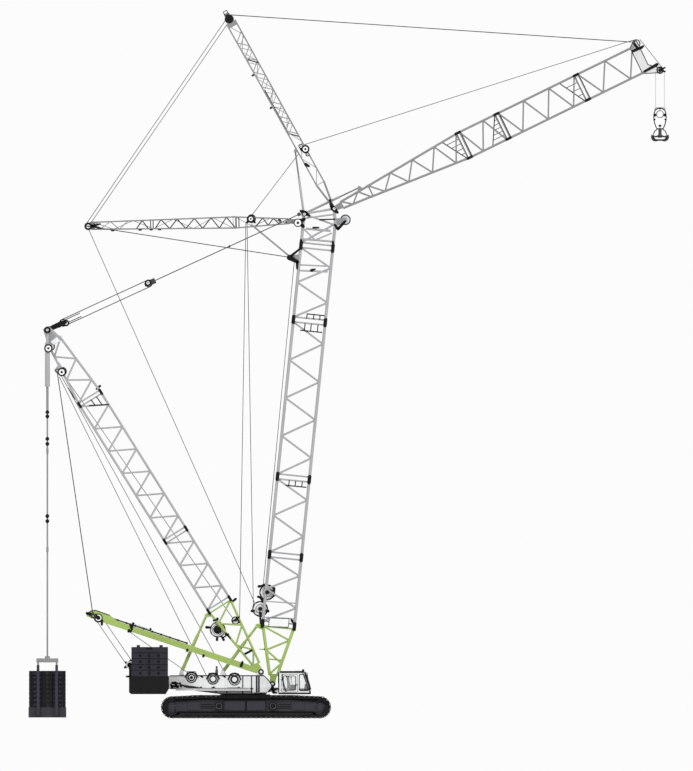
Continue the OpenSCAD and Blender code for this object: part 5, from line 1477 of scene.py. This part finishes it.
def ring_of(inner, outer, thick, sides=28):
    """Flat turned ring about y with bevelled outer edges."""
    b = 0.25 * (outer - inner)
    return hoop(spindle([(thick, inner), (thick, outer - b), (thick - 0.5 * b, outer)]), sides)


class CRANE_OT_mast_fittings(bpy.types.Operator):
    """Stows the pendant bars on the live mast and fits its ram, brackets and sheave rims"""

    bl_idname = "crane.mast_fittings"
    bl_label = "Mast fittings"

    def execute(self, context):
        black, pale = finish("black paint"), finish("cover paint")
        rows = [stowed_bars(MAST, 2.86, 5.80, 0.142, y, 9) for y in (-0.80, 0.80)]
        posts = [link(*MAST.flat(4.90, -0.125), 0.030, *MAST.flat(4.90, 0.215), 0.030, *outward(y, 0.02))
                 for y in (-0.862, 0.862)]
        piece("mast_bars", "mast", black, "dark_paint", *rows, *posts)
        rams = [bars([MAST.at(4.32, 0.205, y)], [MAST.at(4.86, 0.205, y)], 0.034, 16) for y in (-0.80, 0.80)]
        piece("mast_rams", "mast", pale, "bare_steel", *rams)
        eyes = [copies(stub(0.030, 0.006, 0.044, 0.030, 16), MAST.at([4.26, 4.92], 0.205, y))
                for y in (-0.80, 0.80)]
        nose = [link(*MAST.flat(6.54, 0.02), 0.040, *MAST.flat(6.61, 0.02), 0.050, *outward(y, 0.02))
                for y in (-0.862, 0.862)]
        x, _, z = MAST_SHAFT
        hubs = copies(stub(0.016, 0.004, 0.074, 0.060, 24), pair(x, 0.874, z))
        piece("mast_eyes", "mast", black, "dark_paint", *eyes, *nose, hubs)
        for name, paintwork, slot, *sizes in (("rims", pale, "bare_steel", 0.074, 0.118, 0.010),
                                              ("bands", black, "dark_paint", 0.118, 0.150, 0.014)):
            piece("mast_sheave_" + name, "mast", paintwork, slot, copies(ring_of(*sizes), pair(x, 0.872, z)))
        return {"FINISHED"}


class CRANE_OT_base_fittings(bpy.types.Operator):
    """Fits the guide pulley of the derrick, the stub and the panel of the boom's lower sections"""

    bl_idname = "crane.base_fittings"
    bl_label = "Base fittings"

    def execute(self, context):
        black, pale, lime = finish("black paint"), finish("cover paint"), finish("lime paint")
        pulley = pair(-0.342, 0.53, 3.492)
        piece("guide_pulleys", "derrick", black, "dark_paint", copies(ring_of(0.112, 0.150, 0.022), pulley),
              copies(stub(0.030, 0.006, 0.044, 0.030, 18), pulley),
              bars([(-0.342, -0.56, 3.492)], [(-0.342, 0.56, 3.492)], 0.022, 10))
        piece("guide_pulley_discs", "derrick", pale, "bare_steel",
              copies(lathe(spindle([(0.016, 0.05), (0.016, 0.09), (0.010, 0.112)]), 28), pulley))
        stubs = [bars([(0.520, y, 2.455)], [(0.735, y, 2.455)], 0.020, 12) for y in (-0.50, 0.50)]
        piece("boom_stubs", "boom", lime, "lime_paint", *stubs)
        knobs = copies(stub(0.022, 0.006, 0.034, 0.022, 16, "x"), pair(0.700, 0.50, 2.455))
        box = [(0.850, 3.275), (1.560, 3.250), (1.590, 3.560), (0.880, 3.585)]
        frames = [seal(box, 0.03, 0.013, y) for y in (-0.625, 0.625)]
        clips = [bars(at_y(box, y), at_y(box, 0.9 * y), 0.012, 6) for y in (-0.62, 0.62)]
        piece("boom_panel_frames", "boom", black, "dark_paint", *frames, *clips, knobs)
        piece("boom_panels", "boom", pale, "pale_paint", *plates(box, 0.62, 0.006))
        return {"FINISHED"}


# Bars of the boom's head: x, z of both ends, then the radius
HEAD_BARS = (
    (2.200, 17.980, 3.176, 18.108, 0.030), (2.184, 17.600, 3.083, 17.520, 0.042),
    (2.107, 17.597, 2.525, 17.190, 0.028), (2.525, 17.190, 3.130, 17.440, 0.028),
    (2.060, 17.226, 3.160, 17.130, 0.036), (1.998, 16.294, 2.990, 16.247, 0.028),
    (1.980, 16.090, 2.975, 16.045, 0.032),
)
# Rings round pins and sheaves: body, x, z, inner and outer radius, and the distance from the middle plane
PIN_RINGS = (
    ("boom", 1.905, 17.810, 0.120, 0.155, 0.708), ("boom", 2.140, 18.120, 0.050, 0.085, 0.708),
    ("boom", 3.214, 18.317, 0.050, 0.085, 0.640), ("boom", -5.645, 17.683, 0.070, 0.140, 0.240),
    ("boom", 0.209, 17.950, 0.080, 0.145, 0.380), ("tackle_lower", -3.492, 15.646, 0.060, 0.120, 0.704),
    ("jib", 2.173, 20.463, 0.095, 0.140, 0.345),
    ("jib", 2.010, 20.560, 0.050, 0.085, 0.345), ("jib", 2.250, 20.270, 0.040, 0.075, 0.345),
    ("derrick", -7.080, 13.290, 0.105, 0.155, 0.730), ("derrick", -7.115, 13.950, 0.045, 0.125, 0.730),
    ("derrick", -6.597, 12.437, 0.105, 0.155, 0.575), ("tackle_upper", -6.440, 14.200, 0.060, 0.120, 0.215),
    ("tackle_upper", -6.690, 14.100, 0.035, 0.070, 0.215),
)
# Joints of the ballast's hanging bars: heights of the pinned eyes
BAR_JOINTS = (10.990, 10.840, 10.030, 9.850, 7.250, 7.070)


def fan(arm, at, front, top, foot, count, y, r=0.013):
    """Rungs beside a section joint: bars along the arm from a slanted rail to the joint, all in one plane."""
    n = np.linspace(-front, front, count + 2)[1:-1]
    end = at - 0.05
    low = end - top + (top - foot) * (n + front) / (2 * front)
    return join(bars(arm.at(low, n, y), arm.at(np.full(count, end), n, y), r, 8),
                bars([arm.at(end - top, -front, y)], [arm.at(end - foot, front, y)], 1.5 * r, 8))


class CRANE_OT_head_fittings(bpy.types.Operator):
    """Fits the boom head's bars, and pin rings and discs on the heads, struts, tackle and ballast bars"""

    bl_idname = "crane.head_fittings"
    bl_label = "Head fittings"

    def execute(self, context):
        black, pale = finish("black paint"), finish("cover paint")
        axle = bars([(1.905, -0.708, 17.810)], [(1.905, 0.708, 17.810)], 0.036, 14)
        piece("boom_head_bars", "boom", finish("lattice paint"), "pale_paint",
              *flank_bars(HEAD_BARS, 0.55, 10), axle)
        for body in dict.fromkeys(row[0] for row in PIN_RINGS):
            rows = [row[1:] for row in PIN_RINGS if row[0] == body]
            rings = [copies(ring_of(r0, r1, 0.012), pair(x, y, z)) for x, z, r0, r1, y in rows]
            rings += [copies(stub(0.020, 0.004, 0.4 * r0, 0.3 * r0, 18), pair(x, y, z))
                      for x, z, r0, _, y in rows]
            piece(body + "_pin_rings", body, black, "dark_paint", *rings)
            discs = [copies(stub(0.008, 0.003, r0, 0.95 * r0, 24), pair(x, y, z)) for x, z, r0, _, y in rows]
            piece(body + "_pin_discs", body, pale, "bare_steel", *discs)
        plate = [(-7.014, 13.524), (-6.895, 13.430), (-6.650, 13.560), (-6.774, 13.700)]
        piece("derrick_head_plates", "derrick", pale, "pale_paint", *plates(plate, 0.48, 0.006))
        piece("ballast_bar_joints", "ballast_lower", black, "bare_steel",
              copies(stub(0.07, 0.01, 0.072, 0.045),
                     [(BALLAST_X, y, z) for y in (-0.6, 0.6) for z in BAR_JOINTS]))
        return {"FINISHED"}


class CRANE_OT_jib_fittings(bpy.types.Operator):
    """Fits the rungs beside the jib's section joints, their double bars and the panel at the head joint"""

    bl_idname = "crane.jib_fittings"
    bl_label = "Jib fittings"

    def execute(self, context):
        black = finish("black paint")
        fans = [((0.62, 0.06), 4), ((0.04, 0.56), 5), ((0.60, 0.08), 3)]
        rungs = [fan(JIB, s, 0.46, *reach, count, y) for s, (reach, count) in zip(JIB_JOINTS, fans)
                 for y in (-0.42, 0.42)]
        pairs = [bars(JIB.at([s - 0.05, s + 0.10], -0.46, y), JIB.at([s - 0.05, s + 0.10], 0.46, y), 0.020, 8)
                 for s in JIB_JOINTS for y in (-0.42, 0.42)]
        piece("jib_rungs", "jib", black, "dark_paint", *rungs, *pairs)
        s = JIB_JOINTS[-1]
        edge = JIB.flat([s - 0.04, s + 0.12, s + 0.12, s - 0.04], [0.45, 0.45, -0.45, -0.45])
        piece("jib_panels", "jib", finish("cover paint"), "pale_paint", *plates(edge, 0.425, 0.008))
        return {"FINISHED"}


def zigzag(arm, s, first, depth, width, r):
    """Braces of a lattice on both flanks: bars from node to node at s, the first node on the side given
    and the others on the front or back chord by turns."""
    s = np.asarray(s, float)
    sides = first * (-1.0) ** np.arange(len(s))
    n, y = np.interp(s, *depth) * sides, np.interp(s, *width)
    rows = [arm.at(s, n, k * y) for k in (-1, 1)]
    return join(*[bars(p[:-1], p[1:], r, 8) for p in rows])


# Half depth and half width of both struts: places along the strut, then the values there
REAR_FORM = ((0.30, 2.256, 7.37), (0.085, 0.200, 0.125)), ((0.30, 2.256, 7.37), (0.43, 0.28, 0.20))
FRONT_FORM = ((1.0, 7.68), (0.150, 0.170)), ((1.0, 7.68), (0.28, 0.17))
# Places of the brace nodes along the rear strut, in runs between its posts
REAR_NODES = (
    (7.10, 6.72, 6.40, 6.08),
    (5.789, 5.572, 5.355),
    (5.114, 4.897, 4.583, 4.318, 4.005, 3.691, 3.402, 3.089, 2.800, 2.534, 2.221),
    (1.474, 1.233, 1.040, 0.847, 0.630),
)


class CRANE_OT_strut_fittings(bpy.types.Operator):
    """Braces the struts above the boom's head and fits the caps, frames and lugs at their ends"""

    bl_idname = "crane.strut_fittings"
    bl_label = "Strut fittings"

    def execute(self, context):
        black, grey = finish("black paint"), finish("strut paint")
        runs = [zigzag(REAR, s, -1, *REAR_FORM, 0.020) for s in REAR_NODES[1:]]
        posts = [zigzag(REAR, [s, s], -1, *REAR_FORM, 0.018) for s in (5.27, 5.18, 2.19, 2.09)]
        lugs = [link(*REAR.flat(s, -0.19), 0.030, *REAR.flat(s + 0.07, -0.19), 0.030, y - 0.012, y + 0.012)
                for s in (6.61, 5.62, 5.22, 4.92) for y in (-0.24, 0.24)]
        piece("rear_strut_braces", "boom", black, "dark_paint", *runs, *posts, *lugs)
        piece("rear_strut_tip_braces", "boom", grey, "pale_paint",
              zigzag(REAR, REAR_NODES[0], -1, *REAR_FORM, 0.016))
        s = np.arange(7.22, 2.7, -0.3015)
        piece("front_strut_braces", "jib", grey, "pale_paint",
              zigzag(FRONT, s, 1, *FRONT_FORM, 0.016), zigzag(FRONT, s[1:] + 0.1, 1, *FRONT_FORM, 0.012))
        dark = [bars(FRONT.at([4.94, 6.215, 3.17], [-0.12, -0.13, -0.13], y),
                     FRONT.at([3.19, 5.915, 2.889], [-0.13, 0.16, 0.15], y), 0.022, 8) for y in (-0.21, 0.21)]
        tip = lathe([(-0.215, 0.10), (-0.210, 0.135), (-0.195, 0.150), (-0.188, 0.150)], 28)
        caps = both_ways(tip, *FRONT.flat(7.8))
        box = FRONT.flat([7.96, 7.96, 8.13, 8.13], [-0.07, 0.07, 0.07, -0.07])
        frames = [seal(box, 0.02, 0.014, y) for y in (-0.19, 0.19)]
        ears = [link(*FRONT.flat(s, -0.20), 0.034, *FRONT.flat(s, -0.25), 0.040, y - 0.012, y + 0.012)
                for s in (5.62, 4.28) for y in (-0.22, 0.22)]
        piece("front_strut_gear", "jib", black, "dark_paint", *dark, caps, *frames, *ears)
        return {"FINISHED"}


# Half widths of the hook block's cheek at heights above the ground
CHEEK = ((0.055, 21.930), (0.165, 21.869), (0.207, 21.773), (0.222, 21.663), (0.217, 21.497), (0.179, 21.359),
         (0.138, 21.249), (0.120, 21.200))
# Pins through the hook block: x from the hook's line, z and the radius
BLOCK_PINS = ((0.0, 21.920, 0.034), (0.0, 21.300, 0.046), (-0.185, 21.690, 0.055), (0.185, 21.690, 0.055),
              (-0.19, 21.53, 0.030), (0.19, 21.53, 0.030))


class CRANE_OT_hook_fittings(bpy.types.Operator):
    """Fits the oval cheeks of the hook block with their edges, pins and rings"""

    bl_idname = "crane.hook_fittings"
    bl_label = "Hook fittings"

    def execute(self, context):
        side = np.array(CHEEK)
        outline = np.concatenate([side * [-1, 1], side[::-1]]) + [HOOK_X, 0.0]
        piece("block_cheeks", "block", finish("cover paint"), "pale_paint",
              *plates(outline, 0.24, 0.008, 0.003))
        edges = [loop_tube(at_y(outline, y), 0.020, 8) for y in (-0.244, 0.244)]
        pins = [copies(stub(0.270, 0.006, r, 0.7 * r), [(HOOK_X + x, 0.0, z)]) for x, z, r in BLOCK_PINS]
        rings = copies(ring_of(0.118, 0.138, 0.008), pair(HOOK_X, 0.252, 21.718))
        piece("block_edges", "block", finish("black paint"), "dark_paint", *edges, *pins, rings)
        return {"FINISHED"}


# Edge of the jib head's cheek and of the live mast's tip, as rows of s, n on their arms
JIB_CHEEK = ((12.110, -0.505), (12.110, 0.515), (12.660, 0.745), (12.785, 0.705), (12.785, 0.630),
             (12.422, 0.310), (12.430, -0.475), (12.415, -0.655), (12.305, -0.655))
MAST_TIP = ((5.450, 0.100), (5.800, 0.215), (6.360, 0.225), (6.500, 0.150), (6.605, 0.030), (6.600, -0.020),
            (6.450, -0.060), (6.290, -0.090), (5.900, -0.105), (5.450, -0.100))
# Dark links on the jib's head and on the derrick's base, as rows of (x, z, radius) twice
JIB_LINKS = (
    (14.382, 23.256, 0.040, 14.832, 23.508, 0.060), (13.960, 23.990, 0.050, 14.290, 24.130, 0.055),
    (14.290, 24.150, 0.035, 14.340, 24.170, 0.035), (14.940, 23.303, 0.030, 15.110, 23.395, 0.032),
    (14.940, 23.303, 0.030, 15.115, 23.256, 0.032), (14.020, 24.240, 0.050, 14.130, 24.100, 0.050),
)
DERRICK_LINKS = (
    (0.018, 2.297, 0.042, 0.234, 2.412, 0.042), (-0.450, 3.456, 0.030, -0.223, 3.611, 0.030),
    (-0.306, 3.582, 0.028, -0.209, 3.438, 0.028), (-0.684, 3.024, 0.035, -0.540, 2.862, 0.030),
    (-0.756, 2.898, 0.030, -0.594, 3.006, 0.028), (-1.134, 3.488, 0.035, -1.026, 3.517, 0.030),
)
# Bars across the boom's base and first section: x, z of both ends, then the radius
BASE_BARS = ((0.785, 2.112, 1.336, 2.060, 0.024),)
FIRST_BARS = ((0.660, 4.190, 1.860, 4.110, 0.022), (0.700, 3.610, 1.840, 3.555, 0.022))
# Edge of the hook's bowl, and of the guard over one horn, as rows of x, z from the hook's line
HOOK_BOWL = ((-0.250, 20.960), (-0.225, 20.860), (-0.160, 20.790), (0.160, 20.790), (0.225, 20.860),
             (0.250, 20.960), (0.170, 20.905), (0.080, 20.930), (-0.080, 20.930), (-0.170, 20.905))
HOOK_GUARD = ((-0.085, 21.185), (-0.190, 21.110), (-0.245, 20.985))


def rail_and_rungs(arm, at, foot, top, n0, n1, rungs, y):
    """Step frame beside a section joint: a rail across the arm at top and rungs from foot to it."""
    n = np.asarray(rungs, float)
    foot, top = np.full(len(n), at + foot), np.full(len(n), at + top)
    return join(bars([arm.at(top[0], n0, y)], [arm.at(top[0], n1, y)], 0.022, 8),
                bars(arm.at(foot, n, y), arm.at(top, n, y), 0.020, 8))


# Step frames of the boom: the joint, then foot, top, both ends of the rail and places of the rungs
BOOM_RUNGS = (
    (BOOM_JOINTS[2], -0.100, -0.290, -0.260, 0.500, (-0.140, 0.090, 0.331)),
    (BOOM_JOINTS[3], 0.080, 0.245, -0.130, 0.520, (-0.105, 0.140, 0.364)),
    (BOOM_JOINTS[3], -0.100, -0.365, -0.300, 0.500, (-0.144, 0.080, 0.324)),
)
# Step frame of the derrick: x, z of both ends of each bar, then its radius
DERRICK_RUNGS = ((-5.620, 11.236, -4.900, 11.264, 0.022), (-5.544, 11.435, -5.393, 11.243, 0.020),
                 (-5.346, 11.545, -5.144, 11.254, 0.020))


class CRANE_OT_tip_fittings(bpy.types.Operator):
    """Clads the jib's head, the live mast's tip and the hook, and fits links, bars and step frames"""

    bl_idname = "crane.tip_fittings"
    bl_label = "Tip fittings"

    def execute(self, context):
        black, pale, lime = finish("black paint"), finish("cover paint"), finish("lime paint")
        cheek = JIB.flat(*np.array(JIB_CHEEK).T)
        piece("jib_head_cheeks", "jib", finish("panel paint"), "pale_paint", *plates(cheek, 0.374, 0.006))
        edges = [loop_tube(at_y(cheek, y), 0.014, 8) for y in (-0.380, 0.380)]
        piece("jib_head_edges", "jib", black, "dark_paint", *edges,
              *[link(*row, *outward(y, 0.0192)) for row in JIB_LINKS for y in (-0.384, 0.384)])
        nose = pair(TIP_SHAFT[0], 0.400, TIP_SHAFT[2])
        piece("jib_nose_rings", "jib", black, "dark_paint", copies(ring_of(0.088, 0.126, 0.010), nose),
              copies(stub(0.016, 0.004, 0.060, 0.044), nose))
        tip = MAST.flat(*np.array(MAST_TIP).T)
        piece("mast_tip_plates", "mast", lime, "lime_paint", *plates(tip, 0.862, 0.006))
        piece("mast_tip_edges", "mast", black, "dark_paint",
              *[tube(at_y(tip[1:6], y), 0.016, 8) for y in (-0.868, 0.868)])
        piece("derrick_links", "derrick", black, "dark_paint",
              *[link(*row, *outward(y, 0.021)) for row in DERRICK_LINKS for y in (-0.600, 0.600)])
        piece("boom_base_bars", "boom", lime, "lime_paint", *flank_bars(BASE_BARS, 0.50, 10))
        piece("boom_first_bars", "boom", finish("lattice paint"), "pale_paint",
              *flank_bars(FIRST_BARS, 0.55, 10))
        frames = [rail_and_rungs(BOOM, *row, y) for row in BOOM_RUNGS for y in (-0.60, 0.60)]
        hubs = copies(stub(0.014, 0.004, 0.075, 0.060), pair(HIGH_WINCH[0], 0.622, HIGH_WINCH[2]))
        piece("boom_rungs", "boom", black, "dark_paint", *frames, hubs)
        piece("derrick_rungs", "derrick", black, "dark_paint", *flank_bars(DERRICK_RUNGS, 0.590, 8))
        guides = [bars([TACKLE.at(0.70, n, y)], [TACKLE.at(1.32, n, y)], 0.016, 8)
                  for n in (-0.065, 0.065) for y in (-0.2, 0.2)]
        piece("tackle_guides", "tackle_upper", black, "dark_paint", *guides)
        bowl = np.array(HOOK_BOWL) + [HOOK_X, 0.0]
        piece("hook_bowl", "hook_swivel", pale, "pale_paint", *plates(bowl, 0.050, 0.005))
        guards = [tube(at_y(np.array(HOOK_GUARD) * [k, 1] + [HOOK_X, 0.0], 0.0), 0.018, 8) for k in (-1, 1)]
        piece("hook_edges", "hook_swivel", black, "dark_paint", *guards,
              *[loop_tube(at_y(bowl, y), 0.030, 8) for y in (-0.050, 0.050)])
        return {"FINISHED"}


# Middle of the picture in x and z, its height in metres, and the camera's distance from the middle plane
VIEW_CENTRE = (3.654, 11.952)
VIEW_HEIGHT = 27.756
VIEW_AWAY = 80.0
# Height of the floor; lamps: name, strength, angle and turn in degrees; light of the sky
FLOOR = -0.002
LAMPS = (("key", 1.3, 14.0, (52.0, 0.0, -34.0)), ("fill", 1.3, 40.0, (84.0, 0.0, 48.0)),
         ("back", 0.5, 40.0, (-60.0, 0.0, 20.0)))
SKY_LIGHT = 0.55


class CRANE_OT_stage(bpy.types.Operator):
    """Makes the floor, the lights, the sky and the camera"""

    bl_idname = "crane.stage"
    bl_label = "Stage"

    def execute(self, context):
        scene = context.scene
        scene.view_settings.view_transform = "Standard"
        self.floor(scene)
        self.lights(scene)
        camera = bpy.data.cameras.new("camera")
        camera.type = "ORTHO"
        camera.ortho_scale = VIEW_HEIGHT
        camera.clip_end = 5 * VIEW_AWAY
        obj = bpy.data.objects.new("camera", camera)
        obj.location = (VIEW_CENTRE[0], -VIEW_AWAY, VIEW_CENTRE[1])
        obj.rotation_euler = (math.pi / 2, 0.0, 0.0)
        scene.collection.objects.link(obj)
        scene.camera = obj
        return {"FINISHED"}

    def floor(self, scene):
        """Level floor: a square grid of points 160 m wide, just under z = 0."""
        k = np.linspace(-80.0, 80.0, 9)
        x, y = np.meshgrid(k, k)
        p, loops, *_ = grid(np.stack([x, y, np.full_like(x, FLOOR)], -1))
        mesh = bpy.data.meshes.new("floor")
        mesh.from_pydata(p.tolist(), [], loops.reshape(-1, 4).tolist())
        f = Finish("floor")
        pale = tuple(scene.crane_colours.floor)
        f.done(Base_Color=f.mix(f.noise(0.4, 3.0), times(pale, 0.97), pale), Roughness=0.85)
        mesh.materials.append(f.material)
        obj = bpy.data.objects.new("floor", mesh)
        scene.collection.objects.link(obj)
        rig.stage(obj)

    def lights(self, scene):
        """Soft key from the upper left, weaker fills, and a sky that looks pale to eye, gloss and glass."""
        for name, energy, angle, turn in LAMPS:
            lamp = bpy.data.lights.new(name, "SUN")
            lamp.energy = energy
            lamp.angle = math.radians(angle)
            obj = bpy.data.objects.new(name, lamp)
            obj.rotation_euler = [math.radians(t) for t in turn]
            scene.collection.objects.link(obj)
        world = bpy.data.worlds.new("studio")
        scene.world = world
        world.use_nodes = True
        tree = world.node_tree
        tree.nodes.clear()
        out = tree.nodes.new("ShaderNodeOutputWorld")
        paths = tree.nodes.new("ShaderNodeLightPath")
        seen = paths.outputs["Is Camera Ray"]
        for name in ("Is Glossy Ray", "Is Transmission Ray"):
            either = tree.nodes.new("ShaderNodeMath")
            either.operation = "MAXIMUM"
            tree.links.new(seen, either.inputs[0])
            tree.links.new(paths.outputs[name], either.inputs[1])
            seen = either.outputs[0]
        mix = tree.nodes.new("ShaderNodeMixShader")
        for slot, tone, strength in ((1, (1.0, 1.0, 1.0), SKY_LIGHT), (2, srgb(252, 252, 252), 1.0)):
            sky = tree.nodes.new("ShaderNodeBackground")
            sky.inputs["Color"].default_value = (*tone, 1.0)
            sky.inputs["Strength"].default_value = strength
            tree.links.new(sky.outputs[0], mix.inputs[slot])
        tree.links.new(seen, mix.inputs[0])
        tree.links.new(mix.outputs[0], out.inputs["Surface"])


STEPS = (
    "finishes", "reeving", "sheaves", "windings", "section_joints", "winch_ends", "deck_fittings",
    "cab_fittings", "weight_fittings", "track_gear", "mast_fittings", "base_fittings", "head_fittings",
    "jib_fittings", "strut_fittings", "hook_fittings", "tip_fittings", "stage",
)


class CRANE_PT_panel(bpy.types.Panel):
    """Sidebar panel with the crane's colours, sizes and steps"""

    bl_idname = "CRANE_PT_panel"
    bl_label = "Crane"
    bl_space_type = "VIEW_3D"
    bl_region_type = "UI"
    bl_category = "Crane"

    def draw(self, context):
        for group in (context.scene.crane_colours, context.scene.crane_sizes):
            for name in group.__annotations__:
                self.layout.prop(group, name)
        for step in STEPS:
            self.layout.operator("crane." + step)


CLASSES = (CraneColours, CraneSizes, CRANE_PT_panel) + tuple(globals()["CRANE_OT_" + step] for step in STEPS)


def register():
    """Registers the classes and hangs the settings on the scene."""
    for item in CLASSES:
        bpy.utils.register_class(item)
    bpy.types.Scene.crane_colours = bpy.props.PointerProperty(type=CraneColours)
    bpy.types.Scene.crane_sizes = bpy.props.PointerProperty(type=CraneSizes)


def unregister():
    """Takes the settings and the classes away again."""
    del bpy.types.Scene.crane_sizes
    del bpy.types.Scene.crane_colours
    for item in reversed(CLASSES):
        bpy.utils.unregister_class(item)


def main():
    """Runs every step in order and writes the boxes of the CAD and of the dressed crane."""
    register()
    for step in STEPS:
        getattr(bpy.ops.crane, step)()
    with open("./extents.json", "w") as f:
        json.dump({"cad": CAD_BOX, "visual": [list(corner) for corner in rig.bounds()]}, f)


if __name__ == "__main__":
    main()
